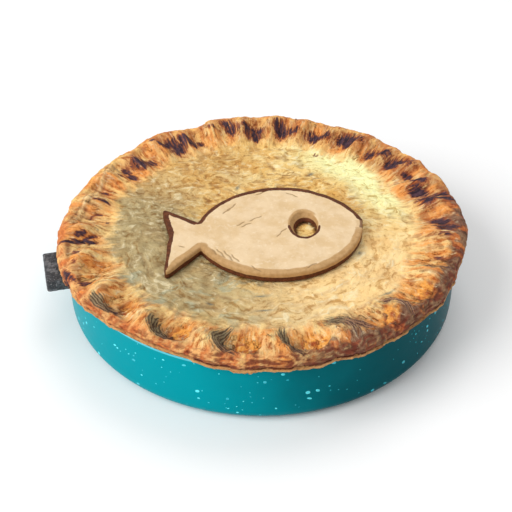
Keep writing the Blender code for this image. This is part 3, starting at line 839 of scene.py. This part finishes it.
    # painted shade in the slit between the layers
    slitShade = np.exp(-(height - layer - 0.9) ** 2) * (radius > rim - 4) * near(degrees, 290, 85, 45)
    baked = near(degrees, 285, 75, 40) * (radius > rim - 3) * smooth(lip + 7, lip + 3, height + 2 * wood)
    rightward = smooth(285, 296, degrees)
    fleck = np.zeros_like(degrees)
    for x, y, length, width, angle in flecks:
        along, across = lineThrough(points, x, y, angle)
        fleck = np.maximum(fleck, np.exp(-((along / length * 2) ** 2 + (across / width * 2) ** 2)))
    eyeShare = np.hypot(*eyePlace(points))
    colour = painted(
        mixed(lid, gold, smooth(90, 102, radius + 9 * broad + 3 * grainAt + 6 * wood)),
        # painted shade round the shaded folds
        (hue("foldShadeAround", rightward), (0.45 + 0.3 * rightward) * shadeAround * smooth(-0.5, 0.3, wood + grainAt)),
        (hue("strip"), 0.8 * strip),
        (hue("foldShadowLine"), 0.55 * foldShadowLine * smooth(-0.4, 0.2, wood + 0.2)),
        (hue("fold"), 0.7 * fold),
        (hue("pleatShade"), 0.8 * pleated),
        (hue("baked"), 0.75 * baked * (1 - strip) * smooth(-0.7, 0.2, grainAt)),
        (hue("slitShade"), 0.85 * slitShade * (1 - 0.7 * strip)),
        (hue("crescent"), 0.8 * crescent),
        (hue("herb"), 0.9 * fleck),
        (hue("eye"), 0.8 * smooth(1.0, 0.8, eyeShare)),
        (hue("eyeRing"), 0.9 * smooth(0.8, 0.92, eyeShare) * smooth(1.3, 1.1, eyeShare)),
    )
    patchy = 1 + 0.5 * cloud(polar * (1, 1, 0.3), 2.6, 15, 3)
    char = (1.25 - 0.15 * near(degrees, 105, 60, 30)) * char * patchy
    flaky = (0.12 + 0.4 * front * inside) * smooth(99, 105, radius) * smooth(-6, -8, toRim)

    mesh = closedMesh("pie_crust", rings, points)
    store(mesh, "paint", np.concatenate([colour, np.ones((len(colour), 1))], 1), "FLOAT_COLOR")
    for name, values in (
        ("char", np.clip(char, 0, 1.2) * shown), ("flake", flake), ("around", around), ("layered", onEdge),
        ("foldShade", foldShade), ("shadeWay", alongShade), ("shadeSide", acrossShade),
        ("flaky", flaky * shown * (1 - 0.8 * char) * (1 - foldShade) * ~under),
    ):
        store(mesh, name, values)
    mesh.materials.append(crustFinish())
    return addPiece("pie_crust", mesh, "crust", "pie")


def crustFinish():
    finish, tree, shader, place = newMaterial("bakedCrust", 0.6, 0.25)
    paint = node(tree, "ShaderNodeAttribute", attribute_name="paint").outputs["Color"]
    char, flake, around, layered, foldShade, shadeWay, shadeSide = (
        attribute(tree, name) for name in ("char", "flake", "around", "layered", "foldShade", "shadeWay", "shadeSide")
    )
    parts = separated(tree, place)
    flat = combined(tree, parts[0], parts[1])
    radius = vector(tree, "LENGTH", flat)
    unit = vector(tree, "NORMALIZE", flat)

    def ringed(turnScale, radiusScale, shift):  # seamless place round the rim, stretched along or across it
        out = combined(tree, z=calc(tree, "MULTIPLY", radius, radiusScale))
        return vector(tree, "ADD", vector(tree, "ADD", vector(tree, "SCALE", unit, turnScale), out), shift)

    def textured(spot, scale, detail=6.0, roughness=0.6, distortion=0.8):
        return texture(tree, spot, scale, detail, roughness, distortion)[0]

    def twoTones(share, name):
        first, second = crust["tones"][name]
        return blend(tree, share, shade(*first), shade(*second))

    # Grain: wrinkles on the lid, streaks across the rim, layers on its outer face
    drift = vector(tree, "SCALE", texture(tree, place, 60.0, 3.0)["Color"], 0.014)
    wavy = vector(tree, "MULTIPLY", vector(tree, "ADD", place, drift), (1.0, 1.6, 1.0))
    sway = vector(tree, "SCALE", drift, 0.3)
    lidGrain = textured(wavy, 170.0)
    roundGrain = textured(ringed(0.030, 1.0, drift), 190.0)
    streak = textured(ringed(0.115, 0.22, sway), 560.0, distortion=0.6)
    singe = textured(ringed(0.115, 0.14, sway), 800.0, detail=5.0, distortion=0.7)
    layers = textured(vector(tree, "MULTIPLY", place, (0.4, 0.4, 2.4)), 420.0, distortion=1.2)
    speck = textured(place, 620.0, roughness=0.7)
    onRim = band(tree, radius, crust["lidEdge"] * mm, crust["rimInside"] * mm)
    grain = between(tree, around, lidGrain, roundGrain)
    grain = between(tree, onRim, grain, streak)
    grain = between(tree, layered, grain, layers)
    both = between(tree, band(tree, onRim, 0.0, 1.0, 0.18, 0.35), grain, speck)

    # Painted shade in the grain's creases, painted highlights on its tops
    creaseShade = blend(tree, onRim, (0.66, 0.52, 0.36, 1.0), (0.62, 0.38, 0.24, 1.0))
    dark = blend(tree, 1.0, paint, creaseShade, "MULTIPLY")
    highlight = shade(*crust["tones"]["highlight"])
    light = blend(tree, 0.6, paint, highlight, "SCREEN")
    light = blend(tree, layered, light, blend(tree, 0.8, paint, highlight, "OVERLAY"))
    colour = blend(tree, band(tree, both, 0.49, 0.38), paint, dark)
    colour = blend(tree, band(tree, both, 0.52, 0.64, 0.0, 0.75), colour, light)

    # Painted shade on the folds, grey with fine lines along them
    bend = calc(tree, "MULTIPLY", textured(place, 130.0, detail=3.0), 9.0)
    lines = calc(tree, "SINE", calc(tree, "ADD", calc(tree, "MULTIPLY", shadeSide, 4.4), bend))
    lines = calc(tree, "ADD", lines, calc(tree, "MULTIPLY", calc(tree, "SUBTRACT", speck, 0.5), 3.0))
    lower = band(tree, shadeWay, 0.45, 0.85)
    atRight = band(tree, parts[0], 0.04, 0.055)
    deep = blend(tree, atRight, twoTones(lower, "foldShadeDeep"), shade(*crust["tones"]["foldShadeDeepRight"]))
    pale = blend(tree, atRight, twoTones(lower, "foldShadePale"), shade(*crust["tones"]["foldShadePaleRight"]))
    # the folds' painted shade, deep and pale along its fine lines
    foldShadeTone = blend(tree, band(tree, lines, -1.5, 1.7), deep, pale)
    ragged = calc(tree, "MULTIPLY", calc(tree, "SUBTRACT", both, 0.5), band(tree, foldShade, 0.0, 0.3, 0.0, 2.2))
    spread = calc(tree, "SUBTRACT", calc(tree, "ADD", foldShade, ragged), calc(tree, "MULTIPLY", lines, 0.14))
    colour = blend(tree, band(tree, spread, 0.15, 0.75, 0.0, 0.92), colour, foldShadeTone)

    # Burns, singed brown round a frayed dark middle
    frayed = calc(tree, "MULTIPLY", calc(tree, "SUBTRACT", singe, 0.5), band(tree, char, 0.0, 0.35, 0.0, 3.2))
    heat = calc(tree, "ADD", char, frayed)
    colour = blend(tree, band(tree, heat, 0.08, 0.34, 0.0, 0.85), colour, shade(*crust["tones"]["singed"]))
    charTone = twoTones(band(tree, both, 0.42, 0.62), "char")
    colour = blend(tree, band(tree, heat, 0.34, 0.82, 0.0, 0.97), colour, charTone)
    tree.links.new(band(tree, heat, 0.4, 0.8, 0.66, 0.5), shader.inputs["Roughness"])
    relief = calc(tree, "ADD", both, calc(tree, "MULTIPLY", flake, 0.3))
    relief = calc(tree, "ADD", relief, calc(tree, "MULTIPLY", calc(tree, "MULTIPLY", lines, foldShade), 0.12))
    wire(tree, shader, colour, relief, 0.9, 2.2)
    return finish


pie = makePie()


# The dish: a turned wall with a rolled rim

dish = {
    "steps": 192, "radius": 124.3, "rim": 125.0, "height": 46.0, "wall": 2.5, "corner": 9.0, "roll": 2.6,
    "wallRings": (16, 24, 32, 38), "highlightLow": 42.4, "highlightHigh": 43.0,
    "enamel": (0, 150, 162), "shadedEnamel": (0, 76, 84), "rimHighlight": (96, 206, 220),
}


def sweep(centre, radius, start, end, steps):
    turns = np.radians(np.linspace(start, end, steps + 1))
    return [(centre[0] + radius * math.cos(a), centre[1] + radius * math.sin(a)) for a in turns]


def makeDish():
    outer, wall, corner, half = dish["radius"], dish["wall"], dish["corner"], dish["roll"] / 2
    inner = outer - wall
    cornerIn = corner - wall
    section = [(40.0, 0.0), (80.0, 0.0)]
    section += sweep((outer - corner, corner), corner, -90, 0, 12)
    section += [(outer, height) for height in (*dish["wallRings"], dish["height"] - 3.2 * half)]
    section += sweep((dish["rim"] - half, dish["height"] - half), half, -45, 140, 10)
    section += [(inner, dish["height"] - dish["roll"])]
    section += sweep((inner - cornerIn, wall + cornerIn), cornerIn, 0, -90, 6)
    section += [(80.0, wall), (40.0, wall)]
    degrees = np.arange(dish["steps"]) * 360 / dish["steps"]
    rings = [stack(degrees, radius, height) for radius, height in section]
    mesh = closedMesh("enamel_dish", rings, np.concatenate(rings))
    mesh.materials.append(enamelFinish())
    return addPiece("enamel_dish", mesh, "enamel", "dish")


def enamelFinish():  # painted shade darkens it towards the right, and a painted highlight line runs below the rim at the left
    finish, tree, shader, place = newMaterial("tealEnamel", 0.3, 0.02)
    x, _, height = separated(tree, place)
    cloudy = texture(tree, place, 22.0, 4.0)[0]
    side = calc(tree, "ADD", x, calc(tree, "MULTIPLY", calc(tree, "SUBTRACT", cloudy, 0.5), 0.06))
    # painted shade towards the right
    colour = blend(tree, band(tree, side, -0.05, 0.085), shade(*dish["enamel"]), shade(*dish["shadedEnamel"]))
    # a painted highlight line below the rim at the left
    line = band(tree, height, dish["highlightLow"] * mm, dish["highlightHigh"] * mm)
    line = calc(tree, "MULTIPLY", line, band(tree, x, 0.005, -0.04))
    colour = blend(tree, line, colour, shade(*dish["rimHighlight"]))
    wire(tree, shader, colour, texture(tree, place, 90.0, 3.0)[0], 0.12, 1.0)
    return finish


enamelDish = makeDish()


# Tools for Geometry Nodes

def newTree(name, inputs):  # a tree with Geometry, these inputs, Seed and Finish, and the sockets they give
    tree = bpy.data.node_groups.new(name, "GeometryNodeTree")
    for key, kind in (("Geometry", "Geometry"), *inputs, ("Seed", "Int"), ("Finish", "Material")):
        tree.interface.new_socket(key, in_out="INPUT", socket_type="NodeSocket" + kind)
    tree.interface.new_socket("Geometry", in_out="OUTPUT", socket_type="NodeSocketGeometry")
    return tree, node(tree, "NodeGroupInput").outputs


def sown(tree, given, density, selection=True):  # points on the faces, and the rotation of their normals
    values = {"Mesh": given["Geometry"], "Selection": selection, "Density": density, "Seed": given["Seed"]}
    points = node(tree, "GeometryNodeDistributePointsOnFaces", values).outputs
    turned = node(tree, "FunctionNodeAlignRotationToVector", {"Vector": points["Normal"]}, axis="Z")
    return points["Points"], turned.outputs[0]


def drawn(tree, low, high, seed):
    values = {2: low, 3: high, "Seed": seed}
    return node(tree, "FunctionNodeRandomValue", values, data_type="FLOAT").outputs[1]


def compared(tree, way, first, second):
    return node(tree, "FunctionNodeCompare", {0: first, 1: second}, operation=way).outputs[0]


def scattered(tree, given, values, spin):  # instances on points, turned, made real and given the finish
    made = node(tree, "GeometryNodeInstanceOnPoints", values).outputs[0]
    made = node(tree, "GeometryNodeRotateInstances", {"Instances": made, "Rotation": spin}).outputs[0]
    made = node(tree, "GeometryNodeRealizeInstances", {0: made}).outputs[0]
    made = node(tree, "GeometryNodeSetMaterial", {"Geometry": made, "Material": given["Finish"]}).outputs[0]
    node(tree, "NodeGroupOutput", {0: made})
    return tree


def grow(source, name, tree, values):  # runs a tree on a copy of the source's mesh and returns the plain mesh
    work = addObject(name, source.data)
    modifier = work.modifiers.new(name, "NODES")
    modifier.node_group = tree
    sockets = {item.name: item.identifier for item in tree.interface.items_tree if item.in_out == "INPUT"}
    for key, value in values.items():
        modifier[sockets[key]] = value
    mesh = evaluated(work)
    mesh.name = name
    return mesh


# Enamel specks, scattered over the outside of the dish's wall

specks = {
    "density": 11000.0, "shortest": 0.8, "longest": 2.6, "thickness": 0.16, "highest": 42.5, "steepest": 0.75,
    "narrow": 0.4, "wide": 0.95, "spin": 0.5, "seed": 4,
    "tint": (96, 240, 250), "tintShadedRight": (30, 170, 185), "patch": (30, 180, 198),
}


def speckTree():  # most specks are small, a few are long
    tree, given = newTree("enamelSpecks", (("Density", "Float"), ("Longest", "Float")))
    place = node(tree, "GeometryNodeInputPosition").outputs[0]
    normal = node(tree, "GeometryNodeInputNormal").outputs[0]
    level = calc(tree, "ABSOLUTE", separated(tree, normal)[2])
    wall = compared(tree, "LESS_THAN", level, specks["steepest"])
    for other in (
        compared(tree, "LESS_THAN", separated(tree, place)[2], specks["highest"] * mm),
        compared(tree, "GREATER_THAN", vector(tree, "DOT_PRODUCT", place, normal), 0.0),
    ):
        wall = node(tree, "FunctionNodeBooleanMath", {0: wall, 1: other}, operation="AND").outputs[0]
    points, turned = sown(tree, given, given["Density"], wall)
    bead = node(tree, "GeometryNodeMeshIcoSphere", {"Radius": 0.5, "Subdivisions": 2}).outputs["Mesh"]
    large = calc(tree, "POWER", drawn(tree, 0.0, 1.0, given["Seed"]), 5.0)
    length = calc(tree, "ADD", calc(tree, "MULTIPLY", large, given["Longest"]), specks["shortest"] * mm)
    width = calc(tree, "MULTIPLY", length, drawn(tree, specks["narrow"], specks["wide"], 11))
    values = {
        "Points": points, "Instance": bead, "Rotation": turned,
        "Scale": combined(tree, length, width, specks["thickness"] * mm),
    }
    spin = combined(tree, z=drawn(tree, -specks["spin"], specks["spin"], 12))
    return scattered(tree, given, values, spin)


def speckFinish():
    finish, tree, shader, place = newMaterial("speckEnamel", 0.25, 0.3)
    x = separated(tree, place)[0]
    # painted shade: the specks darker towards the right
    base = blend(tree, band(tree, x, 0.0, 0.08), shade(*specks["tint"]), shade(*specks["tintShadedRight"]))
    varied = band(tree, texture(tree, place, 60.0, 2.0)[0], 0.45, 0.62)
    tree.links.new(blend(tree, varied, base, shade(*specks["patch"])), shader.inputs["Base Color"])
    return finish


speckMesh = grow(enamelDish, "enamel_specks", speckTree(), {
    "Density": specks["density"], "Longest": specks["longest"] * mm, "Seed": specks["seed"],
    "Finish": speckFinish(),
})
addPiece("enamel_specks", speckMesh, "enamel")


# Loose pastry flakes, scattered over the crust

flakes = {
    "density": 90000.0, "shortest": 2.0, "longest": 5.8, "tilt": 0.16, "turn": 0.5, "seed": 7,
    "columns": 5, "rows": 3, "thickness": 0.07, "shapes": 4,
}


def flakeMesh(number):  # a small curled flake of length 1, a closed lens
    draw = np.random.default_rng(flakes["seed"] + number)
    columns, rows = flakes["columns"], flakes["rows"]
    curl = 0.15 + 0.3 * number / flakes["shapes"]
    bm = bmesh.new()
    tops, bottoms = {}, {}
    for i in range(columns):
        for j in range(rows):
            u, v = i / (columns - 1) - 0.5, j / (rows - 1) - 0.5
            x = u + 0.05 * draw.standard_normal()
            y = v * (0.40 - 1.1 * u * u) + 0.02 * draw.standard_normal()
            z = curl * u * u + 0.3 * v * v + 0.02 * draw.standard_normal()
            tops[i, j] = bm.verts.new((x, y, z))
            atRim = i in (0, columns - 1) or j in (0, rows - 1)
            bottoms[i, j] = tops[i, j] if atRim else bm.verts.new((x, y, z - flakes["thickness"]))
    for i in range(columns - 1):
        for j in range(rows - 1):
            corners = [(i, j), (i + 1, j), (i + 1, j + 1), (i, j + 1)]
            bm.faces.new([tops[c] for c in corners])
            bm.faces.new([bottoms[c] for c in reversed(corners)])
    return plainMesh(f"flake{number}", bm)


def flakeTree():  # flakes lie on the crust and point away from the pie's middle
    kinds = (("Shapes", "Collection"), *((name, "Float") for name in (
        "Density", "Shortest", "Longest", "Tilt", "Turn",
    )))
    tree, given = newTree("pastryFlakes", kinds)
    flaky = node(tree, "GeometryNodeInputNamedAttribute", {"Name": "flaky"}, data_type="FLOAT")
    density = calc(tree, "MULTIPLY", flaky.outputs["Attribute"], given["Density"])
    points, upright = sown(tree, given, density)
    blanks = node(tree, "GeometryNodeCollectionInfo", {0: given["Shapes"], 1: True, 2: True}).outputs[0]
    outward = vector(tree, "MULTIPLY", node(tree, "GeometryNodeInputPosition").outputs[0], (1.0, 1.0, 0.0))
    turned = {"Rotation": upright, "Vector": outward}
    facing = node(tree, "FunctionNodeAlignRotationToVector", turned, axis="X", pivot_axis="Z").outputs[0]
    share = calc(tree, "POWER", drawn(tree, 0.0, 1.0, 31), 1.8)
    length = node(tree, "ShaderNodeMapRange", {0: share, 3: given["Shortest"], 4: given["Longest"]})
    values = {
        "Points": points, "Instance": blanks, "Pick Instance": True, "Rotation": facing,
        "Scale": length.outputs[0],
    }
    turns = ((32, "Tilt"), (33, "Tilt"), (34, "Turn"))
    spin = [calc(tree, "MULTIPLY", drawn(tree, -1.0, 1.0, seed), given[name]) for seed, name in turns]
    return scattered(tree, given, values, combined(tree, *spin))


def addFlakes():
    shapes = bpy.data.collections.new("flakeShapes")
    scene.collection.children.link(shapes)
    for number in range(flakes["shapes"]):
        shapes.objects.link(bpy.data.objects.new(f"flake{number}", flakeMesh(number)))
    mesh = grow(pie, "pastry_flakes", flakeTree(), {
        "Shapes": shapes, "Density": flakes["density"], "Seed": flakes["seed"],
        "Shortest": flakes["shortest"] * mm, "Longest": flakes["longest"] * mm,
        "Tilt": flakes["tilt"], "Turn": flakes["turn"], "Finish": pie.data.materials[0],
    })
    for shape in list(shapes.objects):
        bpy.data.objects.remove(shape, do_unlink=True)
    bpy.data.collections.remove(shapes)
    return addPiece("pastry_flakes", mesh, "crust")


addFlakes()


# The pastry fish

def eyeCutter():  # an upright oval cone that leans and widens upwards
    flare = fish["eyeFlare"] - 1
    bm = bmesh.new()
    bmesh.ops.create_cone(
        bm, cap_ends=True, segments=64, radius1=0.5 * (1 - flare), radius2=0.5 * (1 + 2 * flare),
        depth=3 * fish["thickness"],
    )
    bmesh.ops.scale(bm, verts=bm.verts, vec=(*fish["eyeSize"], 1.0))
    for vert in bm.verts:
        vert.co.x -= fish["eyeLean"] * (0.5 + vert.co.z / fish["thickness"])
    bmesh.ops.translate(bm, verts=bm.verts, vec=(*fish["eye"], fish["base"] + fish["thickness"] / 2))
    bmesh.ops.scale(bm, verts=bm.verts, vec=(mm, mm, mm))
    return addObject("eyeCutter", plainMesh("eyeCutter", bm))


def fishBlank(outline):  # the cut-out with its rounded upper edge and its eye, as an even fine mesh
    bm = bmesh.new()
    base = bm.faces.new([bm.verts.new((x * mm, y * mm, fish["base"] * mm)) for x, y in outline])
    lifted = bmesh.ops.extrude_face_region(bm, geom=[base])["geom"]
    top = {v for v in lifted if isinstance(v, bmesh.types.BMVert)}
    bmesh.ops.translate(bm, verts=list(top), vec=(0, 0, fish["thickness"] * mm))
    bmesh.ops.recalc_face_normals(bm, faces=bm.faces)
    rim = [e for e in bm.edges if all(v in top for v in e.verts)]
    bmesh.ops.bevel(bm, geom=rim, offset=fish["edgeRound"] * mm, segments=4, profile=0.5, affect="EDGES")
    work = addObject("fishBlank", plainMesh("fishBlank", bm))
    cutter = eyeCutter()
    cut = work.modifiers.new("eye", "BOOLEAN")
    cut.operation = "DIFFERENCE"
    cut.object = cutter
    remesh = work.modifiers.new("dough", "REMESH")
    remesh.mode = "VOXEL"
    remesh.voxel_size = fish["voxel"] * mm
    mesh = evaluated(work)
    bpy.data.objects.remove(cutter, do_unlink=True)
    return mesh


def read(mesh, key):
    values = np.zeros(len(mesh.vertices) * 3)
    mesh.vertices.foreach_get(key, values)
    return values.reshape(-1, 3)


def makeFish():
    outline = fishOutline()
    mesh = fishBlank(outline)
    points, normals = read(mesh, "co") / mm, read(mesh, "normal")
    flat = points[:, :2]
    inside, outward = outlineDistance(flat, outline)
    rise = (points[:, 2] - fish["base"]) / fish["thickness"]
    flare = 1 + (fish["eyeFlare"] - 1) * np.clip(rise, 0, 1)
    acrossEye, alongEye = eyePlace(flat, fish["eyeLean"] * rise)
    eyeGap = np.abs((np.hypot(acrossEye, alongEye) / flare - 1) * sum(fish["eyeSize"]) / 4)
    onTop = smooth(0.4, 0.9, normals[:, 2])

    crack = np.zeros(len(points))
    for number, (x, y, direction, length) in enumerate(cracks):
        along, across = lineThrough(flat, x, y, direction)
        across += 0.3 * np.sin(along * 0.9 + number)
        ends = smooth(length / 2 + 1, length / 2 - 2, np.abs(along))
        crack = np.maximum(crack, np.exp(-(across / 0.6) ** 2) * ends)
    lump = cloud(points, 18, 21, 3)
    flaky = cloud(points, 5.5, 22, 4)
    lift = onTop * (0.35 * lump + 0.12 * flaky - 0.5 * crack) + (1 - onTop) * 0.25 * flaky
    lift *= smooth(0.02, 0.2, rise)
    points = points + normals * lift[:, None]
    points[:, 2] = np.minimum(points[:, 2], fish["base"] + fish["thickness"] + 0.3)
    mesh.vertices.foreach_set("co", (points * mm).ravel())

    # The cut edge is toasted brown: all of it at the back, and its foot where the front shows it whole
    wobble = 0.4 * flaky + 0.3 * lump
    atTail = smooth(-0.5, -0.7, outward[:, 0]) * smooth(-45, -48, flat[:, 0])
    atBack = np.maximum(smooth(-0.36, -0.22, outward[:, 1] - 0.2 * outward[:, 0]), atTail)
    lineWidth = 2.3 + 2.1 * np.abs(outward[:, 1])
    topLine = smooth(lineWidth + 0.35, lineWidth - 0.35, inside + wobble) * atBack
    foot = smooth(4.5, 3.0, inside) * smooth(0.62, 0.48, rise + 0.05 * wobble)
    eyeRing = smooth(1.7, 1.0, eyeGap + 0.4 * wobble) * smooth(0.1, -0.4, alongEye) * onTop
    eyeFoot = smooth(2.5, 1.2, eyeGap) * smooth(0.5, 0.38, rise)
    frontSide = smooth(4.7, 3.9, inside + 1.5 * wobble) * smooth(0.05, -0.3, outward[:, 1]) * (1 - atTail)
    eyeSide = smooth(1.5, 0.8, eyeGap) * smooth(0.4, -0.2, acrossEye - alongEye)
    store(mesh, "toast", np.max([topLine, foot, eyeRing, eyeFoot], axis=0))
    store(mesh, "tan", np.max([smooth(0.85, 0.45, normals[:, 2]), frontSide, eyeSide], axis=0))
    store(mesh, "crack", crack * onTop)
    mesh.name = "fish_topper"
    mesh.materials.clear()
    mesh.materials.append(fishFinish())
    return addPiece("fish_topper", mesh, "fish_pastry", "pastry_fish")


def fishFinish():
    finish, tree, shader, place = newMaterial("fishPastry", 0.6, 0.2)
    toast, tan, crack = (attribute(tree, name) for name in ("toast", "tan", "crack"))
    wide = texture(tree, place, 55.0, 5.0, 0.6)[0]
    fine = texture(tree, place, 420.0, 6.0, 0.6)[0]
    colour = blend(tree, band(tree, wide, 0.4, 0.62), shade(*fish["cream"]), shade(*fish["creamShade"]))
    colour = blend(tree, band(tree, fine, 0.52, 0.72, 0.0, 0.35), colour, shade(*fish["pale"]))
    sand = blend(tree, band(tree, fine, 0.4, 0.65), shade(*fish["tan"]), shade(*fish["tanShade"]))
    colour = blend(tree, tan, colour, sand)
    colour = blend(tree, band(tree, crack, 0.25, 0.8, 0.0, 0.75), colour, shade(*fish["crack"]))
    brown = blend(tree, band(tree, fine, 0.4, 0.68), shade(*fish["toast"]), shade(*fish["toastShade"]))
    colour = blend(tree, band(tree, toast, 0.35, 0.65), colour, brown)
    wire(tree, shader, colour, fine, 0.35, 0.6)
    return finish


makeFish()


# The grip

grip = {
    "angle": 193.5, "inner": 124.6, "reach": 138.3, "width": 29.0, "thickness": 9.0, "top": 40.0,
    "seat": 1.4, "round": 1.8, "dents": 0.22, "dentSize": 2.2,
    "dark": (52, 52, 55), "light": (112, 112, 114), "grain": (150, 150, 152),
}


def makeGrip():  # a rounded block whose inner end is fitted to the dish's wall
    length = grip["reach"] - grip["inner"] + grip["seat"]
    bm = bmesh.new()
    bmesh.ops.create_cube(bm, size=1.0)
    bmesh.ops.scale(bm, verts=bm.verts, vec=(length, grip["width"], grip["thickness"]))
    bmesh.ops.bevel(bm, geom=bm.edges, offset=grip["round"], segments=4, profile=0.6, affect="EDGES")
    longEdges = [e for e in bm.edges if e.calc_length() > 3]
    bmesh.ops.subdivide_edges(bm, edges=longEdges, cuts=14, use_grid_fill=True)
    middle = (grip["reach"] - length / 2, 0, grip["top"] - grip["thickness"] / 2)
    bmesh.ops.translate(bm, verts=bm.verts, vec=middle)
    turn = Matrix.Rotation(math.radians(grip["angle"]), 3, "Z")
    bmesh.ops.rotate(bm, verts=bm.verts, cent=(0, 0, 0), matrix=turn)
    bm.normal_update()
    for v in bm.verts:
        v.co += v.normal * grip["dents"] * noise.fractal(v.co / grip["dentSize"], 0.9, 2.1, 3)
        out = math.hypot(v.co.x, v.co.y)
        if out < grip["inner"]:
            v.co.x *= grip["inner"] / out
            v.co.y *= grip["inner"] / out
    bmesh.ops.scale(bm, verts=bm.verts, vec=(mm, mm, mm))
    mesh = plainMesh("iron_grip", bm)
    mesh.materials.append(ironFinish())
    return addPiece("iron_grip", mesh, "grip_iron", "grip")


def ironFinish():
    finish, tree, shader, place = newMaterial("speckledIron", 0.55, 0.35)
    coarse = texture(tree, place, 260.0, 5.0, 0.65)[0]
    fine = texture(tree, place, 900.0, 4.0, 0.6)[0]
    colour = blend(tree, band(tree, coarse, 0.45, 0.66), shade(*grip["dark"]), shade(*grip["light"]))
    colour = blend(tree, band(tree, fine, 0.56, 0.66, 0.0, 0.7), colour, shade(*grip["grain"]))
    wire(tree, shader, colour, fine, 0.4, 0.5)
    return finish


makeGrip()
